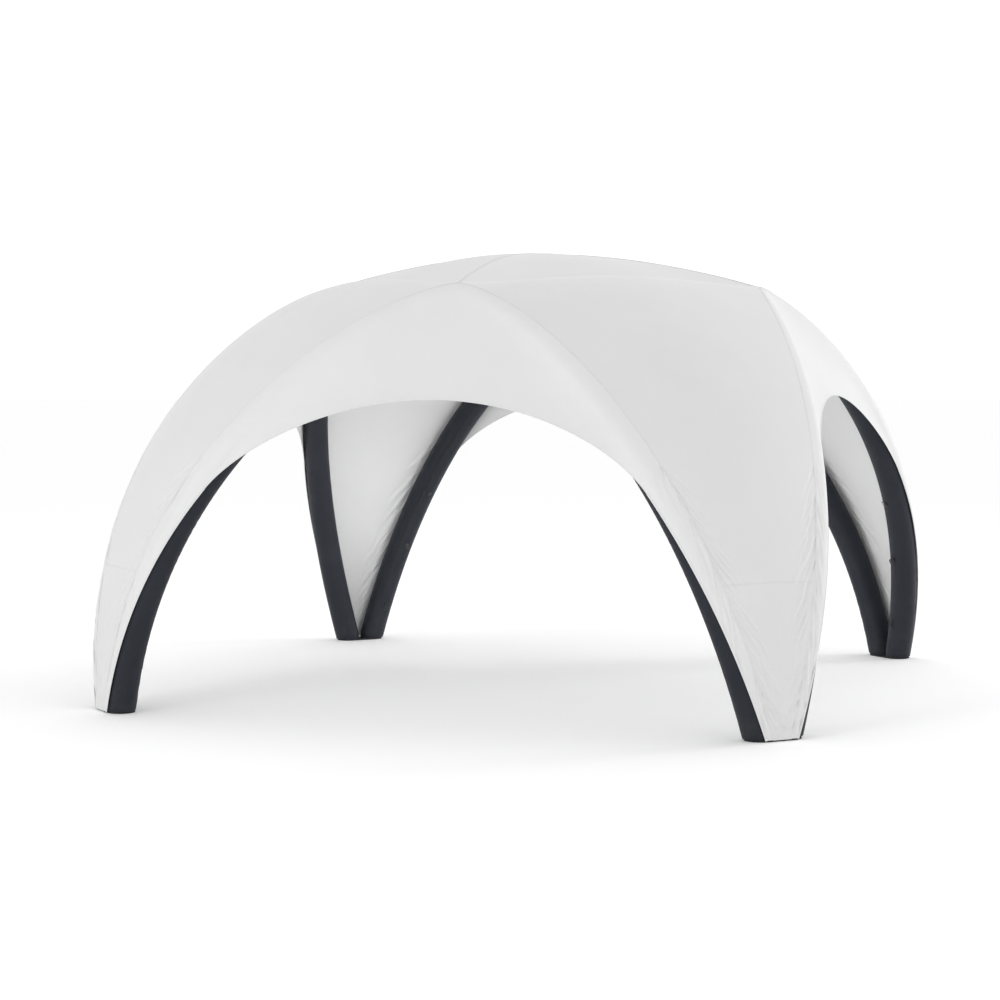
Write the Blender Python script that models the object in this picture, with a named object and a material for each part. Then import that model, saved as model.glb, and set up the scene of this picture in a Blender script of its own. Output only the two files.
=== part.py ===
"""Inflatable four-legged dome tent: four air arches under a sewn canopy.

Units are metres and +Z is up. The origin is on the ground under the roof's apex.
The front opening faces -Y. Every piece is modelled once on the front side and
then set four times around the Z axis, a quarter turn apart.
"""
import math

import bmesh
import bpy
from mathutils import Matrix, Vector

# Air arch: one half is a cubic curve from the foot up to the crown
FOOT_X = 2.42
FOOT_Y = 2.58
SHOULDER = (1.94, 3.00, 2.26)
CROWN_HALF = 0.35
CROWN_Y = 1.84
CROWN_Z = 3.06

TUBE_RADIUS = 0.108
SLEEVE_WALL = 0.003
BLADDER_RADIUS = 0.097
BLADDER_WALL = 0.003
TUBE_SIDES = 12
BLADDER_SIDES = 6
HALF_STATIONS = 10
BLADDER_LIFT = 0.004
FILL_HOLE_RADIUS = 0.020

# Foot pad under each pair of tube ends
PAD_HEIGHT = 0.012
PAD_RADIUS = 0.104
PAD_BEVEL = 0.003
PAD_STEPS = 12
GAP = 0.0005

# Canopy cloth
CLOTH = 0.003
CLOTH_CLEARANCE = 0.014
APEX_Z = 3.47
RIDGE_BULGE = 0.065
HEM_ANGLE_FOOT = math.radians(5.0)
DOOR_TOP_Y = 2.46
DOOR_TOP_Z = 2.33
DOOR_TOP_HALF = 0.78
HEM_LEAVES_TUBE = 0.31
HEM_ANGLE_LEAVES = math.radians(82.0)
HEM_RUN_OUT = 0.38
SEAM_SHIFT_FOOT = 0.040
SEAM_SHIFT_CROWN = -0.020
SEAM_GAP = 0.0012
LEG_ROUND = math.radians(15.0)
LEG_STEPS = 12
CROWN_RISE = 0.05
CROWN_RISE_START = 0.6
CANOPY_FOOT_Z = 0.030
FOOT_SEARCH_STEP = 0.0005
LEG_ROWS = 14
LEG_END = 0.998
ROOF_ROWS = 6
ROOF_END = 0.98
PATCH_RADIUS = 0.085
PATCH_THICKNESS = 0.003
PATCH_SIDES = 32
LEG_COLUMNS = 5
DOOR_COLUMNS = 6
HANGING_COLUMNS = 2
WRAP_STEPS = 24
CLOTH_RADIUS = TUBE_RADIUS + CLOTH_CLEARANCE

SIDES = ("Front", "Right", "Back", "Left")
CORNERS = ("FrontRight", "BackRight", "BackLeft", "FrontLeft")
TENT_HEART = Vector((0.0, 0.0, 1.0))
ACROSS_LEG = Vector((1.0, 1.0, 0.0)).normalized()
LEG_OUT = Vector((1.0, -1.0, 0.0)).normalized()
SHARP_DEGREES = 40.0

# Fittings sit on the flat faces of the sleeve's segments, on the side facing the tent's middle
INNER_FACE = 5
ZIP_FACE = 6
RING_SEGMENT = 0
VALVE_SEGMENT = 1
RELIEF_SEGMENT = 2
ZIP_SEGMENT = 2

# Inflation valve
FLANGE_RADIUS = 0.0260
FLANGE_HEIGHT = 0.0030
BARREL_RADIUS = 0.0190
BARREL_HEIGHT = 0.0160
MOUTH_RADIUS = 0.0135
MOUTH_FLOOR = 0.0040
PLUNGER_STEM = 0.0040
PLUNGER_HEAD = 0.0090
PLUNGER_LOW = 0.0085
PLUNGER_STEP = 0.0110
PLUNGER_TOP = 0.0135
CAP_RADIUS = 0.0195
CAP_THICKNESS = 0.0040
CAP_LOW = 0.0168
HINGE_Y = -0.0225
TONGUE_HALF = 0.0050
EAR_GAP = 0.0004
EAR_THICKNESS = 0.0025
EAR_HALF_LENGTH = 0.0030
VALVE_SIDES = 20

# Relief valve
RELIEF_PROFILE = (
    (0.0, 0.0), (0.0200, 0.0), (0.0200, 0.0030), (0.0150, 0.0045),
    (0.0150, 0.0090), (0.0120, 0.0110), (0.0, 0.0110),
)

# Anchor ring and its webbing tab
RING_RADIUS = 0.0200
RING_WIRE = 0.0030
RING_CORNER = 0.0050
RING_AXIS_HEIGHT = 0.0075
LOOP_OUTER = 0.0066
LOOP_INNER = 0.0036
WEBBING = 0.0040
TAB_LENGTH = 0.0450
TAB_HALF_WIDTH = 0.0120

# Zip slider and pull on the sleeve's bladder zip
SLIDER_LENGTH = 0.0160
SLIDER_WIDTH = 0.0100
SLIDER_HEIGHT = 0.0040
PULL_HALF_WIDTH = 0.0035
PULL_LENGTH = 0.0300
PULL_THICKNESS = 0.0018
PULL_AXIS_HEIGHT = 0.0062
PULL_END = 0.0010
PULL_FLARE = 1.6
EAR_OVER_PULL = 0.0006


def clear_scene():
    for item in list(bpy.data.objects):
        bpy.data.objects.remove(item, do_unlink=True)


def material(name, colour, roughness, metallic=0.0):
    made = bpy.data.materials.new(name)
    made.use_nodes = True
    shader = made.node_tree.nodes["Principled BSDF"]
    shader.inputs["Base Color"].default_value = (*colour, 1.0)
    shader.inputs["Roughness"].default_value = roughness
    shader.inputs["Metallic"].default_value = metallic
    return made


def place(name, mesh, paint, turn=0, matrix=None):
    """Add an object, a number of quarter turns around Z."""
    item = bpy.data.objects.new(name, mesh)
    if not mesh.materials:
        mesh.materials.append(paint)
    bpy.context.scene.collection.objects.link(item)
    local = matrix if matrix is not None else Matrix.Identity(4)
    item.matrix_world = Matrix.Rotation(turn * math.pi / 2, 4, "Z") @ local
    return item


def finish_mesh(name, bm):
    bmesh.ops.recalc_face_normals(bm, faces=bm.faces)
    mesh = bpy.data.meshes.new(name)
    bm.to_mesh(mesh)
    bm.free()
    mesh.shade_smooth()
    mesh.set_sharp_from_angle(angle=math.radians(SHARP_DEGREES))
    return mesh


# Arch geometry

def cubic(p0, p1, p2, p3, t):
    r = 1.0 - t
    return r ** 3 * p0 + 3 * r * r * t * p1 + 3 * r * t * t * p2 + t ** 3 * p3


def half_arch(s):
    """Centre line of the front arch's +X half, s = 0 at the foot, 1 at the crown."""
    foot = Vector((FOOT_X, -FOOT_Y, 0.0))
    shoulder = Vector((SHOULDER[0], -SHOULDER[1], SHOULDER[2]))
    before_crown = Vector((CROWN_HALF, -CROWN_Y, CROWN_Z))
    crown = Vector((0.0, -CROWN_Y, CROWN_Z))
    return cubic(foot, shoulder, before_crown, crown, s)


def half_tangent(s):
    step = 1e-4
    low = max(0.0, s - step)
    high = min(1.0, s + step)
    return (half_arch(high) - half_arch(low)).normalized()


def half_frame(s):
    """Tangent, outward normal where the leg panel leaves the tube, and the way to the opening."""
    tangent = half_tangent(s)
    outward = ACROSS_LEG.cross(tangent).normalized()
    inward = outward.cross(tangent).normalized()
    return tangent, outward, inward


def mirrored(point):
    return Vector((-point.x, point.y, point.z))


def tube_ring(s, radius, sides, floor=None):
    """Ring of points around the tube; an end ring is cut level with the ground."""
    centre = half_arch(s)
    tangent, outward, sideways = half_frame(s)
    ring = []
    for i in range(sides):
        angle = 2 * math.pi * (i + 0.5) / sides
        point = centre + radius * (math.cos(angle) * outward + math.sin(angle) * sideways)
        if floor is not None:
            point = point + tangent * (floor - point.z) / tangent.z
        ring.append(point)
    return ring


def arch_stations():
    """Even steps of s from the foot to the crown."""
    return [i / HALF_STATIONS for i in range(HALF_STATIONS + 1)]


def arch_rings(radius, sides, floor):
    """Rings of the whole arch from the +X foot over the crown to the -X foot."""
    rings = []
    for i, s in enumerate(arch_stations()):
        rings.append(tube_ring(s, radius, sides, floor if i == 0 else None))
    for ring in reversed(rings[:-1]):
        rings.append([mirrored(point) for point in ring])
    return rings


def bridge(bm, ring_a, ring_b):
    count = len(ring_a)
    for i in range(count):
        j = (i + 1) % count
        bm.faces.new((ring_a[i], ring_a[j], ring_b[j], ring_b[i]))


def add_rings(bm, rings):
    loops = [[bm.verts.new(point) for point in ring] for ring in rings]
    for ring_a, ring_b in zip(loops, loops[1:]):
        bridge(bm, ring_a, ring_b)
    return loops


def sleeve_mesh():
    """Outer fabric sleeve: a wall open at both feet, where the pads close it."""
    bm = bmesh.new()
    floor = PAD_HEIGHT + GAP
    outer = add_rings(bm, arch_rings(TUBE_RADIUS, TUBE_SIDES, floor))
    inner = add_rings(bm, arch_rings(TUBE_RADIUS - SLEEVE_WALL, TUBE_SIDES, floor))
    bridge(bm, outer[0], inner[0])
    bridge(bm, outer[-1], inner[-1])
    return finish_mesh("sleeve", bm)


def bladder_mesh():
    """Airtight inner tube, closed at both feet; its fill hole is at the +X foot."""
    bm = bmesh.new()
    floor = PAD_HEIGHT + BLADDER_LIFT
    wall = BLADDER_WALL
    outer = add_rings(bm, arch_rings(BLADDER_RADIUS, BLADDER_SIDES, floor))
    inner = add_rings(bm, arch_rings(BLADDER_RADIUS - wall, BLADDER_SIDES, floor + wall))
    bm.faces.new(outer[-1])
    bm.faces.new(inner[-1])
    hole_out = [bm.verts.new(point) for point in tube_ring(0.0, FILL_HOLE_RADIUS, BLADDER_SIDES, floor)]
    hole_in = [bm.verts.new(point) for point in tube_ring(0.0, FILL_HOLE_RADIUS, BLADDER_SIDES, floor + wall)]
    bridge(bm, outer[0], hole_out)
    bridge(bm, inner[0], hole_in)
    bridge(bm, hole_out, hole_in)
    return finish_mesh("bladder", bm)


def pad_mesh():
    """Ground pad under the two tube ends of one foot: two discs joined by a waist."""
    bm = bmesh.new()
    centres = (Vector((FOOT_X, -FOOT_Y, 0.0)), Vector((FOOT_Y, -FOOT_X, 0.0)))
    start = math.atan2(LEG_OUT.y, LEG_OUT.x)
    outline = []
    for k, centre in enumerate(centres):
        first = start + math.pi * (1 - k)
        for i in range(PAD_STEPS + 1):
            angle = first + math.pi * i / PAD_STEPS
            way = Vector((math.cos(angle), math.sin(angle), 0.0))
            outline.append(centre + PAD_RADIUS * way)
    loop = [bm.verts.new(point) for point in outline]
    face = bm.faces.new(loop)
    grown = bmesh.ops.extrude_face_region(bm, geom=[face])
    raised = [v for v in grown["geom"] if isinstance(v, bmesh.types.BMVert)]
    bmesh.ops.translate(bm, vec=(0.0, 0.0, PAD_HEIGHT), verts=raised)
    rim = [e for e in bm.edges if abs(e.verts[0].co.z - e.verts[1].co.z) < 1e-6]
    low = [e for e in rim if e.verts[0].co.z < 1e-6]
    bmesh.ops.bevel(bm, geom=low, offset=PAD_BEVEL, segments=2, profile=0.5, affect="EDGES")
    return finish_mesh("foot_pad", bm)


# Canopy geometry

def smooth(t):
    t = min(1.0, max(0.0, t))
    return t * t * (3.0 - 2.0 * t)


def hem_on_tube(s):
    """Hem where it lies on the tube, turning from the leg's outer side to the opening."""
    share = s / HEM_LEAVES_TUBE
    angle = HEM_ANGLE_FOOT + (HEM_ANGLE_LEAVES - HEM_ANGLE_FOOT) * share
    _, outward, sideways = half_frame(s)
    return half_arch(s) + CLOTH_RADIUS * (math.cos(angle) * outward + math.sin(angle) * sideways)


def hem_point(s):
    """Free edge of the door panel from the foot to the middle of the opening's top."""
    if s <= HEM_LEAVES_TUBE:
        return hem_on_tube(s)
    start = hem_on_tube(HEM_LEAVES_TUBE)
    heading = (start - hem_on_tube(HEM_LEAVES_TUBE - 0.01)).normalized()
    top = Vector((0.0, -DOOR_TOP_Y, DOOR_TOP_Z))
    before_top = Vector((DOOR_TOP_HALF, -DOOR_TOP_Y, DOOR_TOP_Z))
    t = (s - HEM_LEAVES_TUBE) / (1.0 - HEM_LEAVES_TUBE)
    return cubic(start, start + HEM_RUN_OUT * heading, before_top, top, t)


def cross_path(s):
    """Half section of the canopy at s: hem, tube's outer side, then an arc to the leg's middle."""
    centre = half_arch(s)
    _, outward, sideways = half_frame(s)
    hem = hem_point(s)
    off = hem - centre
    angle = math.atan2(off.dot(sideways), off.dot(outward))
    distance = math.hypot(off.dot(sideways), off.dot(outward))
    leave = angle
    if distance > CLOTH_RADIUS + 1e-6:
        leave = max(0.0, angle - math.acos(CLOTH_RADIUS / distance))
    bend = min(leg_bend(s), leave)
    points = [hem]
    for i in range(WRAP_STEPS + 1):
        turn = bend + (leave - bend) * (1.0 - i / WRAP_STEPS)
        way = math.cos(turn) * outward + math.sin(turn) * sideways
        points.append(centre + CLOTH_RADIUS * way)
    last = points[-1]
    reach = last.dot(ACROSS_LEG)
    for i in range(1, LEG_STEPS + 1):
        turn = bend * (1.0 - i / LEG_STEPS)
        inwards = reach * (1.0 - math.sin(turn) / math.sin(bend))
        rise = abs(reach) * (math.cos(turn) - math.cos(bend)) / math.sin(bend)
        points.append(last - inwards * ACROSS_LEG + rise * outward)
    return points


def leg_bend(s):
    """How far before a tube's outermost line the cloth leaves it, to arch across the leg."""
    return LEG_ROUND * max(math.sin(math.pi * s), 0.001) ** 0.8


def path_lengths(points):
    total = [0.0]
    for a, b in zip(points, points[1:]):
        total.append(total[-1] + (b - a).length)
    return total


def along(points, lengths, distance):
    distance = min(max(distance, 0.0), lengths[-1])
    for i in range(len(points) - 1):
        if distance <= lengths[i + 1] or i == len(points) - 2:
            span = lengths[i + 1] - lengths[i]
            share = (distance - lengths[i]) / span if span > 1e-9 else 0.0
            return points[i].lerp(points[i + 1], share)
    return points[-1]


def seam_distance(s, lengths):
    """Where the seam lies on the section, measured from the hem."""
    outermost = lengths[WRAP_STEPS + 1] + CLOTH_RADIUS * leg_bend(s)
    return outermost + SEAM_SHIFT_FOOT + (SEAM_SHIFT_CROWN - SEAM_SHIFT_FOOT) * smooth(s)


def leg_row(s):
    """Seam to the leg's middle."""
    points = cross_path(s)
    lengths = path_lengths(points)
    start = seam_distance(s, lengths) + SEAM_GAP
    _, outward, _ = half_frame(s)
    row = []
    for i in range(LEG_COLUMNS + 1):
        share = i / LEG_COLUMNS
        point = along(points, lengths, start + (lengths[-1] - start) * share)
        row.append(point + outward * roof_rise(s) * smooth(share))
    return row


def roof_rise(s):
    """Lift of the leg's middle line above the straight line between the tubes, near the crown."""
    share = max(0.0, (s - CROWN_RISE_START) / (1.0 - CROWN_RISE_START))
    return CROWN_RISE * share ** 2


def ridge_point(t):
    """Ridge of the roof from the front arch's crown, t = 0, to the apex, t = 1."""
    crown_top = CROWN_Z + CLOTH_RADIUS
    y = CROWN_Y * (1.0 - t)
    z = crown_top + (APEX_Z - crown_top) * t + RIDGE_BULGE * 4 * t * (1.0 - t)
    return Vector((0.0, -y, z))


def roof_row(t):
    ridge = ridge_point(t)
    row = []
    for i in range(LEG_COLUMNS + 1):
        share = i / LEG_COLUMNS
        middle = Vector((-ridge.y / 2, ridge.y / 2, ridge.z))
        start = ridge + ACROSS_LEG * SEAM_GAP
        point = start.lerp(middle, share)
        point.z += roof_rise(1.0) * (1.0 - t) * smooth(share)
        row.append(point)
    return row


def across_diagonal(point):
    """Mirror image on the other half of the same leg."""
    return Vector((-point.y, -point.x, point.z))


def grid_normal(rows, i, j):
    """Outward normal of a grid of points, from its neighbours in both directions."""
    up = rows[min(i + 1, len(rows) - 1)][j] - rows[max(i - 1, 0)][j]
    side = rows[i][min(j + 1, len(rows[i]) - 1)] - rows[i][max(j - 1, 0)]
    normal = side.cross(up).normalized()
    outward = rows[i][j] - TENT_HEART
    return normal if normal.dot(outward) > 0.0 else -normal


def sheet_mesh(name, rows):
    """Closed thin solid with the grid of points as its middle layer."""
    bm = bmesh.new()
    layers = []
    for offset in (CLOTH / 2, -CLOTH / 2):
        layer = []
        for i, row in enumerate(rows):
            points = [point + offset * grid_normal(rows, i, j) for j, point in enumerate(row)]
            layer.append([bm.verts.new(point) for point in points])
        for row_a, row_b in zip(layer, layer[1:]):
            for j in range(len(row_a) - 1):
                bm.faces.new((row_a[j], row_a[j + 1], row_b[j + 1], row_b[j]))
        layers.append(layer)
    bridge(bm, edge_loop(layers[0]), edge_loop(layers[1]))
    return finish_mesh(name, bm)


def edge_loop(layer):
    """Vertices around a grid's border, in order."""
    right = [row[-1] for row in layer[1:-1]]
    left = [row[0] for row in reversed(layer[1:-1])]
    return layer[0] + right + layer[-1][::-1] + left


def leg_rows():
    first = foot_parameter()
    rows = []
    for i in range(LEG_ROWS + 1):
        s = first + (LEG_END - first) * i / LEG_ROWS
        rows.append(leg_row(s))
    for i in range(1, ROOF_ROWS + 1):
        t = ROOF_END * i / ROOF_ROWS
        rows.append(roof_row(t))
    return [row + [across_diagonal(p) for p in reversed(row[:-1])] for row in rows]


def foot_parameter():
    """Where the canopy's lower edge is on the arch."""
    s = 0.0
    while half_arch(s).z < CANOPY_FOOT_Z:
        s += FOOT_SEARCH_STEP
    return s


def door_row(s):
    """Hem to seam: wide steps down the hanging part, short ones around the tube."""
    points = cross_path(s)
    lengths = path_lengths(points)
    stop = seam_distance(s, lengths) - SEAM_GAP
    knee = max(lengths[1], stop * HANGING_COLUMNS / DOOR_COLUMNS)
    row = []
    for i in range(DOOR_COLUMNS + 1):
        if i <= HANGING_COLUMNS:
            distance = knee * i / HANGING_COLUMNS
        else:
            distance = knee + (stop - knee) * (i - HANGING_COLUMNS) / (DOOR_COLUMNS - HANGING_COLUMNS)
        row.append(along(points, lengths, distance))
    return row


def door_rows():
    first = foot_parameter()
    count = LEG_ROWS + 1
    half = [door_row(first + (1.0 - first) * i / count) for i in range(count + 1)]
    return half + [[mirrored(p) for p in row] for row in reversed(half[:-1])]


def patch_mesh():
    """Round reinforcing patch over the point where the four leg panels meet."""
    bm = bmesh.new()
    loops = []
    for z, radius in ((0.0, PATCH_RADIUS), (PATCH_THICKNESS, PATCH_RADIUS)):
        loops.append([
            bm.verts.new((radius * math.cos(a), radius * math.sin(a), z))
            for a in (2 * math.pi * i / PATCH_SIDES for i in range(PATCH_SIDES))
        ])
    bm.faces.new(loops[0])
    bm.faces.new(loops[1])
    bridge(bm, loops[0], loops[1])
    return finish_mesh("apex_patch", bm)


# Fittings

def tube_seat(segment, face):
    """Frame on one flat face of the sleeve: X across, Y up along the tube, Z off the face."""
    stations = arch_stations()
    low = tube_ring(stations[segment], TUBE_RADIUS, TUBE_SIDES)
    high = tube_ring(stations[segment + 1], TUBE_RADIUS, TUBE_SIDES)
    corners = (low[face], low[face + 1], high[face], high[face + 1])
    centre = sum(corners, Vector()) / 4
    along_tube = (corners[2] + corners[3] - corners[0] - corners[1]).normalized()
    across = corners[1] - corners[0]
    off = across.cross(along_tube).normalized()
    axis = half_arch((stations[segment] + stations[segment + 1]) / 2)
    if off.dot(centre - axis) < 0.0:
        off = -off
    across = along_tube.cross(off).normalized()
    seat = Matrix((across, along_tube, off)).transposed().to_4x4()
    seat.translation = centre + 2 * GAP * off
    return seat


def moved(x, y, z):
    return Matrix.Translation((x, y, z))


def turned_mesh(name, profile, sides):
    """Solid of revolution around Z; the profile starts and ends on the axis."""
    bm = bmesh.new()
    first = bm.verts.new((0.0, 0.0, profile[0][1]))
    last = bm.verts.new((0.0, 0.0, profile[-1][1]))
    loops = []
    for radius, z in profile[1:-1]:
        angles = [2 * math.pi * i / sides for i in range(sides)]
        loops.append([bm.verts.new((radius * math.cos(a), radius * math.sin(a), z)) for a in angles])
    for ring_a, ring_b in zip(loops, loops[1:]):
        bridge(bm, ring_a, ring_b)
    for i in range(sides):
        j = (i + 1) % sides
        bm.faces.new((first, loops[0][i], loops[0][j]))
        bm.faces.new((last, loops[-1][i], loops[-1][j]))
    return finish_mesh(name, bm)


def arc(cx, cy, radius, start, end, steps):
    """Points on an arc, angles in degrees."""
    points = []
    for i in range(steps + 1):
        angle = math.radians(start + (end - start) * i / steps)
        points.append((cx + radius * math.cos(angle), cy + radius * math.sin(angle)))
    return points


def plate_mesh(name, outlines, half_thickness):
    """Flat plate around Z = 0 with the first outline as its edge and the others as holes."""
    curve = bpy.data.curves.new(name, "CURVE")
    curve.dimensions = "2D"
    curve.fill_mode = "BOTH"
    curve.extrude = half_thickness
    for outline in outlines:
        spline = curve.splines.new("POLY")
        spline.points.add(len(outline) - 1)
        for point, (x, y) in zip(spline.points, outline):
            point.co = (x, y, 0.0, 1.0)
        spline.use_cyclic_u = True
    shape = bpy.data.objects.new(name, curve)
    bm = bmesh.new()
    bm.from_mesh(shape.to_mesh())
    bmesh.ops.remove_doubles(bm, verts=bm.verts, dist=1e-6)
    shape.to_mesh_clear()
    bpy.data.objects.remove(shape)
    return finish_mesh(name, bm)


def box_mesh(name, low, high):
    bm = bmesh.new()
    middle = [(a + b) / 2 for a, b in zip(low, high)]
    size = [b - a for a, b in zip(low, high)]
    bmesh.ops.create_cube(bm, size=1.0, matrix=Matrix.Translation(middle) @ Matrix.Diagonal((*size, 1.0)))
    return finish_mesh(name, bm)


def united(name, base, additions):
    """One closed mesh from several that overlap."""
    scene = bpy.context.scene.collection
    body = bpy.data.objects.new(name, base)
    scene.objects.link(body)
    helpers = []
    for addition in additions:
        helper = bpy.data.objects.new(name + "_add", addition)
        scene.objects.link(helper)
        helpers.append(helper)
        join = body.modifiers.new("join", "BOOLEAN")
        join.operation = "UNION"
        join.solver = "EXACT"
        join.object = helper
    bpy.context.view_layer.update()
    shape = body.evaluated_get(bpy.context.evaluated_depsgraph_get())
    mesh = bpy.data.meshes.new_from_object(shape)
    mesh.name = name
    for item in (body, *helpers):
        bpy.data.objects.remove(item, do_unlink=True)
    mesh.materials.clear()
    mesh.shade_smooth()
    mesh.set_sharp_from_angle(angle=math.radians(SHARP_DEGREES))
    return mesh


def ears(name, base_height, top_height, axis_y, half_gap):
    """Pair of hinge ears either side of a tongue."""
    pair = []
    for side in (-1, 1):
        near = side * (half_gap + EAR_GAP)
        far = near + side * EAR_THICKNESS
        low = (min(near, far), axis_y - EAR_HALF_LENGTH, base_height)
        high = (max(near, far), axis_y + EAR_HALF_LENGTH, top_height)
        pair.append(box_mesh(name, low, high))
    return pair


def valve_body_mesh():
    profile = (
        (0.0, 0.0), (FLANGE_RADIUS, 0.0), (FLANGE_RADIUS, FLANGE_HEIGHT), (BARREL_RADIUS, FLANGE_HEIGHT),
        (BARREL_RADIUS, BARREL_HEIGHT), (MOUTH_RADIUS, BARREL_HEIGHT), (MOUTH_RADIUS, MOUTH_FLOOR),
        (0.0, MOUTH_FLOOR),
    )
    body = turned_mesh("valve_body", profile, VALVE_SIDES)
    top = CAP_LOW + CAP_THICKNESS
    return united("valve_body", body, ears("valve_ear", FLANGE_HEIGHT / 2, top, HINGE_Y, TONGUE_HALF))


def valve_cap_mesh():
    """Lid with its hinge tongue; the origin is on the hinge axis."""
    half_angle = math.degrees(math.asin(TONGUE_HALF / CAP_RADIUS))
    disc = arc(0.0, -HINGE_Y, CAP_RADIUS, -90.0 + half_angle, 270.0 - half_angle, VALVE_SIDES)
    outline = disc + [(-TONGUE_HALF, -EAR_HALF_LENGTH), (TONGUE_HALF, -EAR_HALF_LENGTH)]
    return plate_mesh("valve_cap", [outline], CAP_THICKNESS / 2)


def plunger_mesh():
    profile = (
        (0.0, PLUNGER_LOW), (PLUNGER_STEM, PLUNGER_LOW), (PLUNGER_STEM, PLUNGER_STEP),
        (PLUNGER_HEAD, PLUNGER_STEP), (PLUNGER_HEAD, PLUNGER_TOP), (0.0, PLUNGER_TOP),
    )
    return turned_mesh("plunger", profile, VALVE_SIDES - 4)


def anchor_tab_mesh():
    """Webbing strip on the sleeve, looped around the ring's straight bar."""
    meet = math.degrees(math.asin((WEBBING - LOOP_OUTER) / LOOP_OUTER))
    outer = [(TAB_LENGTH, -LOOP_OUTER), (TAB_LENGTH, WEBBING - LOOP_OUTER)]
    outer += arc(0.0, 0.0, LOOP_OUTER, meet, 270.0, 18)
    hole = arc(0.0, 0.0, LOOP_INNER, 0.0, 337.5, 15)
    mesh = plate_mesh("anchor_tab", [outer, hole], TAB_HALF_WIDTH)
    mesh.transform(Matrix(((0, 0, 1, 0), (1, 0, 0, 0), (0, 1, 0, RING_AXIS_HEIGHT), (0, 0, 0, 1))))
    return mesh


def anchor_ring_curve():
    """D-shaped ring of round wire; the origin is on its straight bar."""
    reach = RING_RADIUS - RING_CORNER
    points = arc(reach, -RING_CORNER, RING_CORNER, 90.0, 0.0, 3)
    points += arc(0.0, -RING_CORNER, RING_RADIUS, 0.0, -180.0, 10)[1:-1]
    points += arc(-reach, -RING_CORNER, RING_CORNER, 180.0, 90.0, 3)
    curve = bpy.data.curves.new("anchor_ring", "CURVE")
    curve.dimensions = "3D"
    curve.bevel_depth = RING_WIRE
    curve.bevel_resolution = 2
    spline = curve.splines.new("POLY")
    spline.points.add(len(points) - 1)
    for point, (x, y) in zip(spline.points, points):
        point.co = (x, y, 0.0, 1.0)
    spline.use_cyclic_u = True
    return curve


def slider_mesh():
    low = (-SLIDER_WIDTH / 2, -SLIDER_LENGTH / 2, 0.0)
    high = (SLIDER_WIDTH / 2, SLIDER_LENGTH / 2, SLIDER_HEIGHT)
    block = box_mesh("zip_slider", low, high)
    top = PULL_AXIS_HEIGHT + PULL_THICKNESS / 2 + EAR_OVER_PULL
    return united("zip_slider", block, ears("zip_ear", SLIDER_HEIGHT / 2, top, 0.0, PULL_HALF_WIDTH / 2))


def pull_mesh():
    """Flat pull: a narrow neck between the ears, then a wider tab."""
    neck = PULL_HALF_WIDTH / 2
    shoulder = -SLIDER_LENGTH / 3
    flare = shoulder * PULL_FLARE
    outline = [(neck, PULL_END), (-neck, PULL_END), (-neck, shoulder), (-PULL_HALF_WIDTH, flare)]
    outline += arc(0.0, PULL_HALF_WIDTH - PULL_LENGTH, PULL_HALF_WIDTH, 180.0, 360.0, 8)
    outline += [(PULL_HALF_WIDTH, flare), (neck, shoulder)]
    return plate_mesh("zip_pull", [outline], PULL_THICKNESS / 2)


def fit_valves(turn, side, meshes, paints):
    seat = tube_seat(VALVE_SEGMENT, INNER_FACE)
    axis = seat @ moved(0.0, HINGE_Y, CAP_LOW + CAP_THICKNESS / 2)
    place("Valve_Body_" + side, meshes["valve_body"], paints["valve"], turn, matrix=seat)
    place("Valve_Plunger_" + side, meshes["plunger"], paints["plunger"], turn, matrix=seat)
    place("Valve_Cap_" + side, meshes["valve_cap"], paints["valve"], turn, matrix=axis)
    seat = tube_seat(RELIEF_SEGMENT, INNER_FACE)
    place("Relief_Valve_" + side, meshes["relief"], paints["valve"], turn, matrix=seat)


def fit_anchor(turn, side, meshes, paints):
    seat = tube_seat(RING_SEGMENT, INNER_FACE)
    axis = seat @ moved(0.0, 0.0, RING_AXIS_HEIGHT)
    place("Anchor_Tab_" + side, meshes["tab"], paints["webbing"], turn, matrix=seat)
    place("Anchor_Ring_" + side, meshes["ring"], paints["steel"], turn, matrix=axis)


def fit_zip(turn, side, meshes, paints):
    seat = tube_seat(ZIP_SEGMENT, ZIP_FACE)
    axis = seat @ moved(0.0, 0.0, PULL_AXIS_HEIGHT)
    place("Zip_Slider_" + side, meshes["slider"], paints["zip"], turn, matrix=seat)
    place("Zip_Pull_" + side, meshes["pull"], paints["zip"], turn, matrix=axis)


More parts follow.
